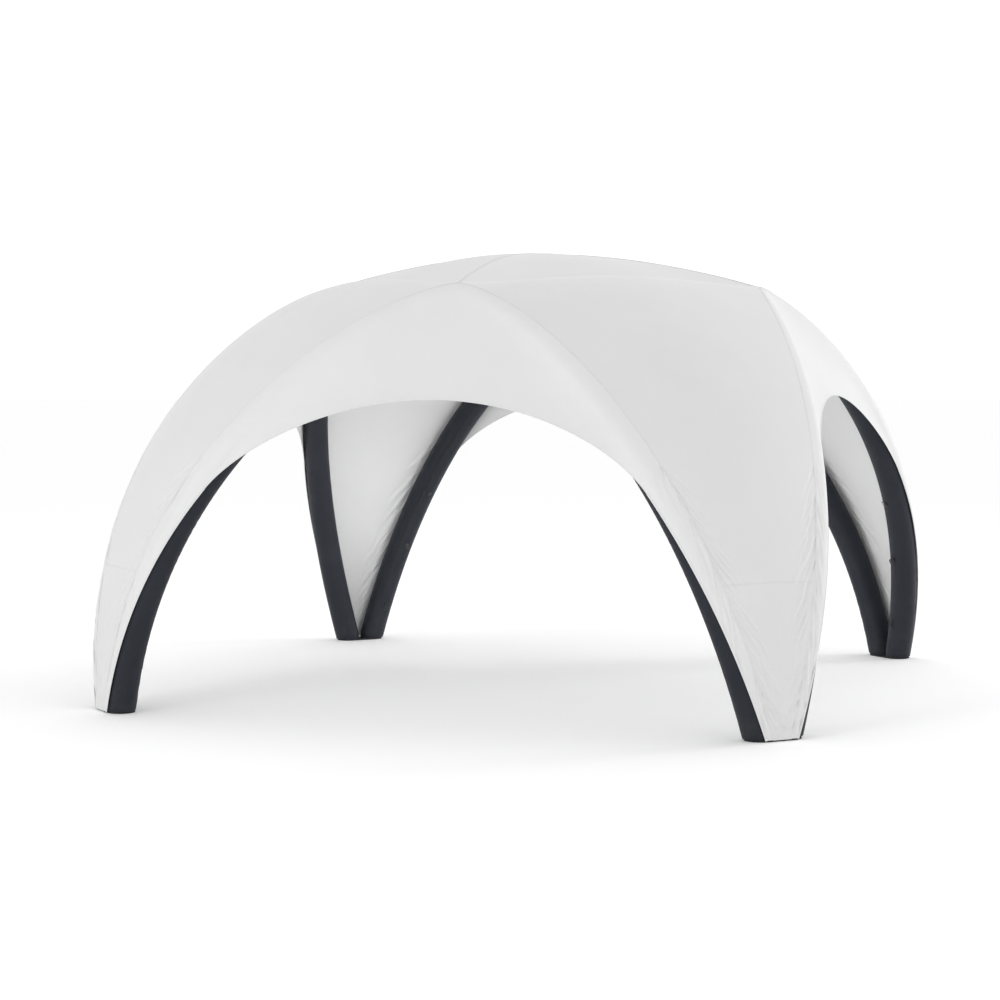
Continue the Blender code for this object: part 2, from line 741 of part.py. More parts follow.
def build():
    clear_scene()
    paints = {
        "sleeve": material("sleeve_fabric", (0.035, 0.038, 0.050), 0.6),
        "bladder": material("bladder_film", (0.75, 0.78, 0.80), 0.3),
        "canopy": material("canopy_cloth", (0.80, 0.80, 0.80), 0.7),
        "pad": material("pad_rubber", (0.020, 0.020, 0.022), 0.8),
        "valve": material("valve_plastic", (0.030, 0.030, 0.033), 0.45),
        "plunger": material("plunger_plastic", (0.45, 0.46, 0.48), 0.4),
        "webbing": material("webbing", (0.030, 0.032, 0.038), 0.85),
        "steel": material("ring_steel", (0.55, 0.56, 0.58), 0.3, 1.0),
        "zip": material("zip_metal", (0.10, 0.10, 0.11), 0.4, 1.0),
    }
    meshes = {
        "sleeve": sleeve_mesh(),
        "bladder": bladder_mesh(),
        "door": sheet_mesh("door_panel", door_rows()),
        "leg": sheet_mesh("leg_panel", leg_rows()),
        "pad": pad_mesh(),
        "patch": patch_mesh(),
        "valve_body": valve_body_mesh(),
        "valve_cap": valve_cap_mesh(),
        "plunger": plunger_mesh(),
        "relief": turned_mesh("relief_valve", RELIEF_PROFILE, VALVE_SIDES),
        "tab": anchor_tab_mesh(),
        "ring": anchor_ring_curve(),
        "slider": slider_mesh(),
        "pull": pull_mesh(),
    }
    lift = moved(0.0, 0.0, APEX_Z + CLOTH / 2 + GAP)
    place("Apex_Patch", meshes["patch"], paints["canopy"], matrix=lift)
    for turn, side in enumerate(SIDES):
        place("Arch_Sleeve_" + side, meshes["sleeve"], paints["sleeve"], turn)
        place("Arch_Bladder_" + side, meshes["bladder"], paints["bladder"], turn)
        place("Door_Panel_" + side, meshes["door"], paints["canopy"], turn)
        fit_valves(turn, side, meshes, paints)
        fit_anchor(turn, side, meshes, paints)
        fit_zip(turn, side, meshes, paints)
    for turn, corner in enumerate(CORNERS):
        place("Leg_Panel_" + corner, meshes["leg"], paints["canopy"], turn)
        place("Foot_Pad_" + corner, meshes["pad"], paints["pad"], turn)


build()
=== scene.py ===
"""Looks of the inflatable dome tent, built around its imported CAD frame.

Units are metres, +Z is up and the front opening faces -Y, as in the frame.
Everything is modelled for the front side or the front right leg and then
turned around Z by quarter turns; only the creases differ from leg to leg.
"""
import math
import random

import bmesh
import bpy
import numpy as np
from mathutils import Matrix, Vector


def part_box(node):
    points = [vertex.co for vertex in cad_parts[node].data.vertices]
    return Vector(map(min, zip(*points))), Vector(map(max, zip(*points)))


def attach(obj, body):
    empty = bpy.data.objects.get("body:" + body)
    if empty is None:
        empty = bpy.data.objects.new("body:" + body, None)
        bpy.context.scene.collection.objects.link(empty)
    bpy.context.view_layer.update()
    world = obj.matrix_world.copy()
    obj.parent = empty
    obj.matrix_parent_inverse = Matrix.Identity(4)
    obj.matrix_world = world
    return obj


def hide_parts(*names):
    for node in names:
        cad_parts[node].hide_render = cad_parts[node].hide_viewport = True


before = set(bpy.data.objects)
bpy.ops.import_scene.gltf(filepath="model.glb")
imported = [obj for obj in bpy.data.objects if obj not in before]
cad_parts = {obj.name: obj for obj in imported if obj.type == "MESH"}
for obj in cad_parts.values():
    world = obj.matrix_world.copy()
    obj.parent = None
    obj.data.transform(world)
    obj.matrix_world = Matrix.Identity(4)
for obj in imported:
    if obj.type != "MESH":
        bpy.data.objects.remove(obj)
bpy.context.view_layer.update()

SIDES = ("Front", "Right", "Back", "Left")
CORNERS = ("FrontRight", "BackRight", "BackLeft", "FrontLeft")

# Feet and apex, from the frame
PAD_RADIUS = 0.104
PAD_LOW, PAD_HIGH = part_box("Foot_Pad_FrontRight")
FOOT_NEAR = PAD_LOW.x + PAD_RADIUS
FOOT_FAR = PAD_HIGH.x - PAD_RADIUS
FLOOR_GAP = 0.0005
TUBE_FLOOR = PAD_HIGH.z + FLOOR_GAP
CAD_CLOTH = 0.003
APEX_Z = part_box("Apex_Patch")[0].z - CAD_CLOTH / 2 - FLOOR_GAP

# Arch centre line, the frame's own curve
SHOULDER = (1.94, -3.00, 2.26)
CROWN_HALF = 0.35
CROWN_Y = 1.84
CROWN_Z = 3.06
TUBE_RADIUS = 0.108
SLEEVE_WALL = 0.003
BLADDER_RADIUS = 0.097
BLADDER_WALL = 0.0015

# Canopy
CLOTH_RADIUS = TUBE_RADIUS + 0.014
CLOTH = 0.0024
CANOPY_FOOT_Z = 0.012
RIDGE_BULGE = 0.065
HEM_ANGLE_FOOT = math.radians(8.0)
HEM_ANGLE_LEAVES = math.radians(82.0)
HEM_LEAVES_TUBE = 0.31
HEM_RUN_OUT = 0.38
DOOR_TOP = (0.0, -2.46, 2.33)
DOOR_TOP_HALF = 0.78
SEAM_SHIFT_FOOT = 0.040
SEAM_SHIFT_CROWN = -0.020
SEAM_GAP = 0.0006
LEG_ROUND = math.radians(15.0)
CROWN_RISE = 0.05
CROWN_RISE_START = 0.6
ROOF_END = 0.985

# Mesh resolution
LOW_ROWS = 205
HIGH_ROWS = 56
ROOF_ROWS = 44
LOW_SHARE = 0.47
LEG_COLUMNS = 64
LEG_CROWDING = 1.6
DOOR_COLUMNS = 28
TUBE_SIDES = 48
TUBE_STATIONS = 160


# Meshes

def new_object(name, mesh):
    item = bpy.data.objects.new(name, mesh)
    bpy.context.scene.collection.objects.link(item)
    return item


def array_mesh(name, points, faces, uv=None):
    """Mesh from arrays; uv holds one pair for each vertex."""
    mesh = bpy.data.meshes.new(name)
    mesh.from_pydata([tuple(p) for p in points], [], faces)
    if uv is not None:
        layer = mesh.uv_layers.new(name="UVMap")
        corners = np.zeros(len(mesh.loops), dtype=np.int32)
        mesh.loops.foreach_get("vertex_index", corners)
        layer.data.foreach_set("uv", np.asarray(uv, dtype=np.float32)[corners].ravel())
    return outward_faces(mesh)


def outward_faces(mesh, sharp_degrees=50.0):
    bm = bmesh.new()
    bm.from_mesh(mesh)
    bmesh.ops.recalc_face_normals(bm, faces=bm.faces)
    bm.to_mesh(mesh)
    bm.free()
    mesh.shade_smooth()
    mesh.set_sharp_from_angle(angle=math.radians(sharp_degrees))
    return mesh


def turned_matrix(turn, local=None):
    matrix = Matrix.Rotation(turn * math.pi / 2, 4, "Z")
    return matrix @ local if local is not None else matrix


def add(name, mesh, paint, body, turn=0, local=None, stands_for=()):
    """Put a piece in the scene: its finish, its place, its body and the nodes it stands for."""
    item = new_object(name, mesh)
    mesh.materials.clear()
    mesh.materials.append(paint)
    item.matrix_world = turned_matrix(turn, local)
    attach(item, body)
    if stands_for:
        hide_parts(*stands_for)
    return item


def unit(vectors):
    return vectors / np.maximum(np.linalg.norm(vectors, axis=-1, keepdims=True), 1e-12)


def smooth(t):
    t = np.clip(t, 0.0, 1.0)
    return t * t * (3.0 - 2.0 * t)


# Arch curve

ACROSS_LEG = unit(np.array([1.0, 1.0, 0.0]))


def cubic(p0, p1, p2, p3, t):
    t = np.asarray(t, dtype=float)[..., None]
    r = 1.0 - t
    p0, p1, p2, p3 = (np.asarray(p, dtype=float) for p in (p0, p1, p2, p3))
    return r ** 3 * p0 + 3 * r * r * t * p1 + 3 * r * t * t * p2 + t ** 3 * p3


def half_arch(s):
    """Centre line of the front arch's +X half, from the foot, s = 0, to the crown, s = 1."""
    foot = (FOOT_NEAR, -FOOT_FAR, 0.0)
    crown = (0.0, -CROWN_Y, CROWN_Z)
    return cubic(foot, SHOULDER, (CROWN_HALF, -CROWN_Y, CROWN_Z), crown, s)


def half_frame(s):
    """Tangent, outward normal and the way to the opening at s."""
    s = np.asarray(s, dtype=float)
    step = 1e-4
    tangent = unit(half_arch(np.minimum(s + step, 1.0)) - half_arch(np.maximum(s - step, 0.0)))
    outward = unit(np.cross(ACROSS_LEG, tangent))
    sideways = unit(np.cross(outward, tangent))
    return tangent, outward, sideways


def mirror_front(points):
    return points * np.array([-1.0, 1.0, 1.0])


def mirror_leg(points):
    return np.stack([-points[..., 1], -points[..., 0], points[..., 2]], axis=-1)


def foot_parameter():
    """Where the canopy's lower edge is on the arch."""
    s = np.linspace(0.0, 0.05, 501)
    return float(np.interp(CANOPY_FOOT_Z, half_arch(s)[:, 2], s))


def canopy_stations():
    """Foot to crown, closely spaced along the creased lower part."""
    first = foot_parameter()
    low = np.linspace(first, LOW_SHARE, LOW_ROWS, endpoint=False)
    high = np.linspace(LOW_SHARE, 1.0, HIGH_ROWS + 1)
    return np.concatenate([low, high])


# Canopy sections

def hem_on_tube(s):
    angle = HEM_ANGLE_FOOT + (HEM_ANGLE_LEAVES - HEM_ANGLE_FOOT) * s / HEM_LEAVES_TUBE
    _, outward, sideways = half_frame(s)
    return half_arch(s) + CLOTH_RADIUS * (math.cos(angle) * outward + math.sin(angle) * sideways)


def hem_point(s):
    """Free edge of the door panel: on the tube at first, then across the opening."""
    if s <= HEM_LEAVES_TUBE:
        return hem_on_tube(s)
    start = hem_on_tube(HEM_LEAVES_TUBE)
    heading = unit(start - hem_on_tube(HEM_LEAVES_TUBE - 0.01))
    before_top = np.array([DOOR_TOP_HALF, DOOR_TOP[1], DOOR_TOP[2]])
    t = (s - HEM_LEAVES_TUBE) / (1.0 - HEM_LEAVES_TUBE)
    return cubic(start, start + HEM_RUN_OUT * heading, before_top, DOOR_TOP, t)


def leg_bend(s):
    """How far before a tube's outermost line the cloth leaves it, to arch across the leg."""
    return LEG_ROUND * max(math.sin(math.pi * s), 0.001) ** 0.8


class Section:
    """Half section of the canopy at s: hem, around the tube's outer side, arc to the leg's middle."""

    def __init__(self, s, steps=36):
        centre = half_arch(s)
        _, outward, sideways = half_frame(s)
        hem = hem_point(s)
        off = hem - centre
        x, y = off @ outward, off @ sideways
        angle, distance = math.atan2(y, x), math.hypot(x, y)
        leave = angle
        if distance > CLOTH_RADIUS + 1e-6:
            leave = max(0.0, angle - math.acos(CLOTH_RADIUS / distance))
        bend = min(leg_bend(s), leave)
        turns = bend + (leave - bend) * (1.0 - np.arange(steps + 1) / steps)
        around = np.cos(turns)[:, None] * outward + np.sin(turns)[:, None] * sideways
        last = centre + CLOTH_RADIUS * around[-1]
        reach = last @ ACROSS_LEG
        turns = bend * (1.0 - np.arange(1, steps + 1) / steps)
        inwards = reach * (1.0 - np.sin(turns) / math.sin(bend))
        rise = abs(reach) * (np.cos(turns) - math.cos(bend)) / math.sin(bend)
        across = last - inwards[:, None] * ACROSS_LEG + rise[:, None] * outward
        self.points = np.vstack([hem, centre + CLOTH_RADIUS * around, across])
        spans = np.linalg.norm(np.diff(self.points, axis=0), axis=1)
        self.lengths = np.concatenate([[0.0], np.cumsum(spans)])
        shift = SEAM_SHIFT_FOOT + (SEAM_SHIFT_CROWN - SEAM_SHIFT_FOOT) * smooth(s)
        self.seam = self.lengths[steps + 1] + CLOTH_RADIUS * leg_bend(s) + shift
        self.outward = outward
        self.s = s

    def at(self, distances):
        return np.stack([np.interp(distances, self.lengths, self.points[:, k]) for k in range(3)], axis=-1)

    def leg_lift(self, share):
        """How far the leg panel stands off its arc near the crown."""
        risen = max(0.0, (self.s - CROWN_RISE_START) / (1.0 - CROWN_RISE_START))
        return CROWN_RISE * risen ** 2 * smooth(share)


SECTIONS = [Section(s) for s in canopy_stations()]


def seam_line():
    return np.array([section.at(section.seam) for section in SECTIONS])


def seam_heights():
    """Distance along the seam from the canopy's lower edge, for each station."""
    spans = np.linalg.norm(np.diff(seam_line(), axis=0), axis=1)
    return np.concatenate([[0.0], np.cumsum(spans)])


SEAM_UP = seam_heights()


def ridge_point(t):
    crown_top = CROWN_Z + CLOTH_RADIUS
    y = CROWN_Y * (1.0 - t)
    z = crown_top + (APEX_Z - crown_top) * t + RIDGE_BULGE * 4 * t * (1.0 - t)
    return np.array([0.0, -y, z])


def roof_row(t, share):
    ridge = ridge_point(t)
    middle = np.array([-ridge[1] / 2, ridge[1] / 2, ridge[2]])
    start = ridge + ACROSS_LEG * SEAM_GAP
    row = start + (middle - start) * share[:, None]
    row[:, 2] += CROWN_RISE * (1.0 - t) * smooth(share)
    return row


def leg_grid():
    """Half a leg panel, seam to middle and foot to apex: points, height up the seam, distance from it."""
    share = np.linspace(0.0, 1.0, LEG_COLUMNS + 1) ** LEG_CROWDING
    rows, up, off = [], [], []
    for section, height in zip(SECTIONS, SEAM_UP):
        start = section.seam + SEAM_GAP
        reach = section.lengths[-1] - start
        row = section.at(start + reach * share) + section.leg_lift(share)[:, None] * section.outward
        rows.append(row)
        up.append(np.full(len(share), height))
        off.append(reach * share)
    for i in range(1, ROOF_ROWS + 1):
        t = ROOF_END * i / ROOF_ROWS
        row = roof_row(t, share)
        rows.append(row)
        up.append(np.full(len(share), SEAM_UP[-1] + CROWN_Y * t))
        off.append(np.linalg.norm(row - row[0], axis=1))
    return np.array(rows), np.array(up), np.array(off)


def door_grid():
    """Half a door panel, hem to seam and foot to crown."""
    share = np.linspace(0.0, 1.0, DOOR_COLUMNS + 1)
    rows, up, off = [], [], []
    for section, height in zip(SECTIONS, SEAM_UP):
        stop = section.seam - SEAM_GAP
        rows.append(section.at(stop * share))
        up.append(np.full(len(share), height))
        off.append(stop * (1.0 - share))
    return np.array(rows), np.array(up), np.array(off)


# Creases where the seams pull on the cloth

class Crease:
    """A fold that runs down and away from the seam, and grows wider as it leaves it."""

    def __init__(self, rng, top, angles):
        self.up = top * rng.random() ** 0.8 + 0.12
        low = 1.0 - self.up / (top + 0.3)
        self.off = rng.uniform(-0.03, 0.05)
        self.angle = math.radians(rng.uniform(*angles))
        self.length = rng.uniform(0.16, 0.34) + 0.22 * low
        self.width = rng.uniform(0.0055, 0.0095)
        self.depth = rng.uniform(0.0034, 0.0078) * (0.55 + 0.6 * low)
        self.bend = rng.uniform(-0.25, 0.25)

    def lift(self, up, off):
        cosine, sine = math.cos(self.angle), math.sin(self.angle)
        down, away = self.up - up, off - self.off
        along = (down * cosine + away * sine) / self.length
        across = (away * cosine - down * sine) - self.bend * self.length * along * (along - 1.0)
        window = np.sin(math.pi * np.clip(along, 0.0, 1.0)) ** 0.8
        x = across / (self.width + CREASE_SPREAD * np.maximum(off, 0.0))
        return self.depth * window * (1.2 * x * np.exp(-0.5 * x * x) - 0.5 * np.exp(-0.3 * x * x))


def crease_lift(seed, count, top, angles, up, off):
    rng = random.Random(seed)
    total = np.zeros_like(up)
    for _ in range(count):
        total += Crease(rng, top, angles).lift(up, off)
    sunk = CREASE_SINK * np.tanh(total / CREASE_SINK)
    return np.where(total < 0.0, sunk, total)


CREASE_TOP = 2.0
CREASE_SPREAD = 0.05
# Creases that cross never sink as deep as the gap between the cloth and the tube
CREASE_SINK = 0.007
LEG_CREASE_ANGLES = (13.0, 27.0)
DOOR_CREASE_ANGLES = (4.0, 15.0)
LEG_CREASES = 46
DOOR_CREASES = 34


def soft_waves(up, off, seed, height):
    """Slow unevenness of the stretched cloth."""
    rng = random.Random(seed)
    total = np.zeros_like(up)
    for _ in range(5):
        along, across = rng.uniform(2.0, 7.0), rng.uniform(3.0, 10.0)
        total += np.sin(along * up + across * off + rng.uniform(0.0, 6.28))
    return total * height / 5.0


def lengthwise_folds(up, off, seed):
    """Fine upright folds down the lower part of a leg."""
    rng = random.Random(seed)
    total = np.zeros_like(up)
    for _ in range(4):
        total += np.sin(rng.uniform(70.0, 150.0) * off + rng.uniform(-1.2, 1.2) * up + rng.uniform(0.0, 6.28))
    return 0.0005 * total * np.clip(1.0 - up / 1.6, 0.0, 1.0)


def edge_calm(up, off_edge):
    """Zero at a sewn edge and one a little further in, so that neighbours still meet."""
    return smooth(off_edge / 0.012) * smooth(up / 0.10)


def leg_half_lift(up, off, seed):
    reach = off.max(axis=1, keepdims=True)
    creases = crease_lift(seed, LEG_CREASES, CREASE_TOP, LEG_CREASE_ANGLES, up, off)
    fine = lengthwise_folds(up, off, seed + 1)
    waves = soft_waves(up, off, seed + 2, 0.0012) * smooth((reach - off) / 0.20)
    return (creases + fine + waves) * edge_calm(up, off)


def door_half_lift(up, off, seed):
    width = off.max(axis=1, keepdims=True)
    creases = crease_lift(seed, DOOR_CREASES, CREASE_TOP, DOOR_CREASE_ANGLES, up, off)
    waves = soft_waves(up, off, seed + 1, 0.0010)
    return (creases + waves) * edge_calm(up, off) * edge_calm(up, width - off)


def grid_normals(grid, heart=(0.0, 0.0, 1.0)):
    up = np.gradient(grid, axis=0)
    side = np.gradient(grid, axis=1)
    normals = unit(np.cross(side, up))
    facing = np.sum(normals * (grid - np.array(heart)), axis=-1, keepdims=True)
    return np.where(facing < 0.0, -normals, normals)


def sheet_mesh(name, grid, uv, thickness=CLOTH):
    """Closed thin cloth with the grid as its middle layer."""
    rows, columns = grid.shape[:2]
    normals = grid_normals(grid)
    layers = [grid + normals * thickness / 2, grid - normals * thickness / 2]
    points = np.concatenate([layer.reshape(-1, 3) for layer in layers])
    count = rows * columns
    index = np.arange(count).reshape(rows, columns)
    corners = [index[:-1, :-1], index[:-1, 1:], index[1:, 1:], index[1:, :-1]]
    quads = np.stack(corners, axis=-1).reshape(-1, 4)
    faces = quads.tolist() + (quads[:, ::-1] + count).tolist()
    rim = np.concatenate([index[0, :], index[1:, -1], index[-1, -2::-1], index[-2:0:-1, 0]])
    after = np.roll(rim, -1)
    faces += np.stack([rim, rim + count, after + count, after], axis=-1).tolist()
    flat_uv = uv.reshape(-1, 2)
    return array_mesh(name, points, faces, np.concatenate([flat_uv, flat_uv]))


def door_mesh(turn):
    """Whole door panel over its opening; returns the mesh and the grid that its hem follows."""
    grid, up, off = door_grid()
    normals = grid_normals(grid)
    right = grid + normals * door_half_lift(up, off, 300 + turn)[..., None]
    left = mirror_front(grid + normals * door_half_lift(up, off, 400 + turn)[..., None])
    whole = np.concatenate([right, left[-2::-1]])
    lengthwise = np.concatenate([up, 2 * up[-1:] - up[-2::-1]])
    uv = np.stack([np.concatenate([off, off[-2::-1]]), lengthwise], axis=-1)
    return sheet_mesh("door_cloth", whole, uv), whole


def leg_mesh(turn):
    """Whole leg panel between its two tubes, up to the apex."""
    grid, up, off = leg_grid()
    normals = grid_normals(grid)
    near = grid + normals * leg_half_lift(up, off, 100 + turn)[..., None]
    far = mirror_leg(grid + normals * leg_half_lift(up, off, 200 + turn)[..., None])
    middle = (near[:, -1:] + far[:, -1:]) / 2
    whole = np.concatenate([near[:, :-1], middle, far[:, -2::-1]], axis=1)
    across = np.concatenate([off, 2 * off[:, -1:] - off[:, -2::-1]], axis=1)
    uv = np.stack([across, np.concatenate([up, up[:, -2::-1]], axis=1)], axis=-1)
    return sheet_mesh("leg_cloth", whole, uv), whole


# Swept trims

def sweep_mesh(name, centres, across, normals, profiles, cap=True):
    """Closed strips along a line; each profile is a closed outline of (across, normal) pairs."""
    points, faces, uv = [], [], []
    spans = np.linalg.norm(np.diff(centres, axis=0), axis=1)
    along = np.concatenate([[0.0], np.cumsum(spans)])
    for profile in profiles:
        shape = np.array(profile)
        base, count = len(points), len(shape)
        for row, centre in enumerate(centres):
            ring = centre + shape[:, :1] * across[row] + shape[:, 1:] * normals[row]
            points.extend(ring)
            uv.extend([(x, along[row]) for x in shape[:, 0]])
        for row in range(len(centres) - 1):
            for i in range(count):
                j = (i + 1) % count
                low, high = base + row * count, base + (row + 1) * count
                faces.append((low + i, low + j, high + j, high + i))
        if cap:
            faces.append(tuple(base + i for i in range(count)))
            last = base + (len(centres) - 1) * count
            faces.append(tuple(last + i for i in range(count)))
    return array_mesh(name, points, faces, uv)


def bar_outline(half_width, low, high, corner=0.0004):
    """Flat strip's section with its corners cut."""
    return [
        (-half_width, low + corner), (-half_width + corner, low), (half_width - corner, low),
        (half_width, low + corner), (half_width, high - corner), (half_width - corner, high),
        (-half_width + corner, high), (-half_width, high - corner),
    ]


def felled_outline(half_width, low, high):
    """Folded seam's section: two rounded welts with the stitching sunk between them."""
    steps = 12
    x = np.linspace(-half_width, half_width, steps + 1)
    swell = 0.55 + 0.45 * np.abs(np.sin(2.0 * math.pi * x / half_width))
    edge = np.clip((half_width - np.abs(x)) / (0.25 * half_width), 0.15, 1.0)
    top = [(float(a), float(low + (high - low) * b * c)) for a, b, c in zip(x, swell, edge)]
    return [(half_width, low - 0.0002), (-half_width, low - 0.0002)] + top


SEAM_HALF = 0.008
SEAM_OUTER = (CLOTH / 2 + 0.0001, CLOTH / 2 + 0.0016)
SEAM_INNER = (-CLOTH / 2 - 0.0012, -CLOTH / 2 - 0.0001)


def seam_mesh():
    """Felled seam over the whole front arch, with its flat tape inside the canopy."""
    seam = seam_line()
    side = np.array([section.at(section.seam + 0.004) - section.at(section.seam - 0.004) for section in SECTIONS])
    tangent = np.gradient(seam, axis=0)
    normals = unit(np.cross(side, tangent))
    facing = np.sum(normals * (seam - np.array([0.0, 0.0, 1.0])), axis=1, keepdims=True)
    normals = np.where(facing < 0.0, -normals, normals)
    across = unit(side)
    keep = slice(1, None)
    seam, across, normals = seam[keep], across[keep], normals[keep]
    seam = np.concatenate([seam, mirror_front(seam)[-2::-1]])
    across = np.concatenate([across, mirror_front(across)[-2::-1]])
    normals = np.concatenate([normals, mirror_front(normals)[-2::-1]])
    profiles = [felled_outline(SEAM_HALF, *SEAM_OUTER), bar_outline(SEAM_HALF, *SEAM_INNER)]
    return sweep_mesh("seam", seam, across, normals, profiles)


def ridge_seam_mesh():
    """Felled seam from the crown to the apex patch, bent over the ridge."""
    start, stop, steps = 0.012, ROOF_END - 0.03, 60
    t = start + (stop - start) * np.arange(steps + 1) / steps
    centres = np.array([ridge_point(x) for x in t])
    across = np.tile([1.0, 0.0, 0.0], (len(t), 1))
    normals = unit(np.cross(across, np.gradient(centres, axis=0)))
    profiles = [felled_outline(SEAM_HALF, *SEAM_OUTER), bar_outline(SEAM_HALF, *SEAM_INNER)]
    return sweep_mesh("ridge_seam", centres, across, normals, profiles)


BINDING_REACH = 0.014
BINDING_LIP = 0.003
BINDING_SLOT = CLOTH / 2 + 0.0002
BINDING_HALF = BINDING_SLOT + 0.0011


def binding_outline(reach):
    """U-shaped binding around a cloth edge; the cloth lies in its slot."""
    nose = 6
    outline = [(reach, BINDING_HALF)]
    for i in range(nose + 1):
        angle = math.pi / 2 + math.pi * i / nose
        outline.append((BINDING_LIP * math.cos(angle), BINDING_HALF * math.sin(angle)))
    outline.append((reach, -BINDING_HALF))
    outline.append((reach, -BINDING_SLOT))
    outline.append((0.0005, -BINDING_SLOT))
    outline.append((0.0005, BINDING_SLOT))
    outline.append((reach, BINDING_SLOT))
    return outline


def edge_binding(name, edge, inner, normals, reach):
    across = unit(inner - edge)
    return sweep_mesh(name, edge, across, normals, [binding_outline(reach)])


def hem_mesh(door):
    """Binding on the free edge of a door panel."""
    normals = grid_normals(door)
    return edge_binding("hem", door[:, 0], door[:, 1], normals[:, 0], BINDING_REACH)


LEG_HEM = 0.085


def leg_hem_mesh(leg):
    """Deep hem along a leg panel's lower edge."""
    normals = grid_normals(leg)
    cut = slice(1, -1)
    rows = np.searchsorted(SEAM_UP, LEG_HEM)
    return edge_binding("leg_hem", leg[0, cut], leg[rows, cut], normals[0, cut], LEG_HEM)


LEG_SEAM_UP = 1.10
LEG_SEAM_HALF = 0.007


def leg_seam_mesh(leg):
    """Felled seam across a leg panel, where its lower length is joined on."""
    normals = grid_normals(leg)
    cut = slice(1, -1)
    row = np.searchsorted(SEAM_UP, LEG_SEAM_UP)
    across = unit(leg[row + 1, cut] - leg[row - 1, cut])
    return sweep_mesh("leg_seam", leg[row, cut], across, normals[row, cut],
                      [felled_outline(LEG_SEAM_HALF, CLOTH / 2 + 0.0001, CLOTH / 2 + 0.0008)])


# Round pieces

def turned_mesh(name, profile, sides, flute=None):
    """Solid of revolution; flute(angle, radius, z) may change a point's radius."""
    rows = len(profile) - 2
    angles = 2 * math.pi * np.arange(sides) / sides
    points = [(0.0, 0.0, profile[0][1])]
    for radius, z in profile[1:-1]:
        for angle in angles:
            r = flute(angle, radius, z) if flute else radius
            points.append((r * math.cos(angle), r * math.sin(angle), z))
    points.append((0.0, 0.0, profile[-1][1]))
    last = len(points) - 1
    faces = []
    for row in range(rows - 1):
        for i in range(sides):
            j = (i + 1) % sides
            low, high = 1 + row * sides, 1 + (row + 1) * sides
            faces.append((low + i, low + j, high + j, high + i))
    for i in range(sides):
        j = (i + 1) % sides
        faces.append((0, 1 + j, 1 + i))
        faces.append((last, last - sides + i, last - sides + j))
    return array_mesh(name, points, faces)


def rounded_profile(corners, radius, steps=3):
    """Profile of (radius, z) pairs with its inner corners rounded."""
    result = [corners[0]]
    for before, here, after in zip(corners, corners[1:], corners[2:]):
        here_v = np.array(here)
        to_before, to_after = np.array(before) - here_v, np.array(after) - here_v
        cut = min(radius, 0.45 * np.linalg.norm(to_before), 0.45 * np.linalg.norm(to_after))
        a, b = here_v + cut * unit(to_before), here_v + cut * unit(to_after)
        for i in range(steps + 1):
            t = i / steps
            p = (1 - t) ** 2 * a + 2 * t * (1 - t) * here_v + t * t * b
            result.append((float(p[0]), float(p[1])))
    result.append(corners[-1])
    return result


def arc(cx, cy, radius, start, end, steps):
    angles = np.radians(np.linspace(start, end, steps + 1))
    return [(cx + radius * math.cos(a), cy + radius * math.sin(a)) for a in angles]


def plate_mesh(name, outlines, half_thickness, bevel):
    """Flat plate with rounded edges; outlines after the first are holes."""
    curve = bpy.data.curves.new(name, "CURVE")
    curve.dimensions = "2D"
    curve.fill_mode = "BOTH"
    curve.extrude = half_thickness - bevel
    curve.bevel_depth = bevel
    curve.bevel_resolution = 2
    curve.offset = -bevel
    for outline in outlines:
        spline = curve.splines.new("POLY")
        spline.points.add(len(outline) - 1)
        for point, (x, y) in zip(spline.points, outline):
            point.co = (x, y, 0.0, 1.0)
        spline.use_cyclic_u = True
    shape = bpy.data.objects.new(name, curve)
    bm = bmesh.new()
    bm.from_mesh(shape.to_mesh())
    bmesh.ops.remove_doubles(bm, verts=bm.verts, dist=1e-5)
    shape.to_mesh_clear()
    bpy.data.objects.remove(shape)
    mesh = bpy.data.meshes.new(name)
    bm.to_mesh(mesh)
    bm.free()
    return outward_faces(mesh, 35.0)


def block_mesh(name, low, high, bevel, segments=3):
    bm = bmesh.new()
    middle = [(a + b) / 2 for a, b in zip(low, high)]
    size = [b - a for a, b in zip(low, high)]
    bmesh.ops.create_cube(bm, size=1.0, matrix=Matrix.Translation(middle) @ Matrix.Diagonal((*size, 1.0)))
    bmesh.ops.bevel(bm, geom=bm.edges[:], offset=bevel, segments=segments, profile=0.5, affect="EDGES")
    mesh = bpy.data.meshes.new(name)
    bm.to_mesh(mesh)
    bm.free()
    return outward_faces(mesh, 35.0)


def joined(name, meshes):
    """One mesh from several that meet or overlap."""
    bm = bmesh.new()
    for mesh in meshes:
        bm.from_mesh(mesh)
    made = bpy.data.meshes.new(name)
    bm.to_mesh(made)
    bm.free()
    made.shade_smooth()
    made.set_sharp_from_angle(angle=math.radians(35.0))
    return made


# Seats of the fittings, on the frame's twelve-sided sleeve

CAD_SIDES = 12
CAD_STATIONS = 10
INNER_FACE = 5
ZIP_FACE = 6
RING_SEGMENT = 0
VALVE_SEGMENT = 1
RELIEF_SEGMENT = 2
ZIP_SEGMENT = 2


def cad_corner(station, corner):
    s = station / CAD_STATIONS
    angle = 2 * math.pi * (corner + 0.5) / CAD_SIDES
    _, outward, sideways = half_frame(s)
    return half_arch(s) + TUBE_RADIUS * (math.cos(angle) * outward + math.sin(angle) * sideways)


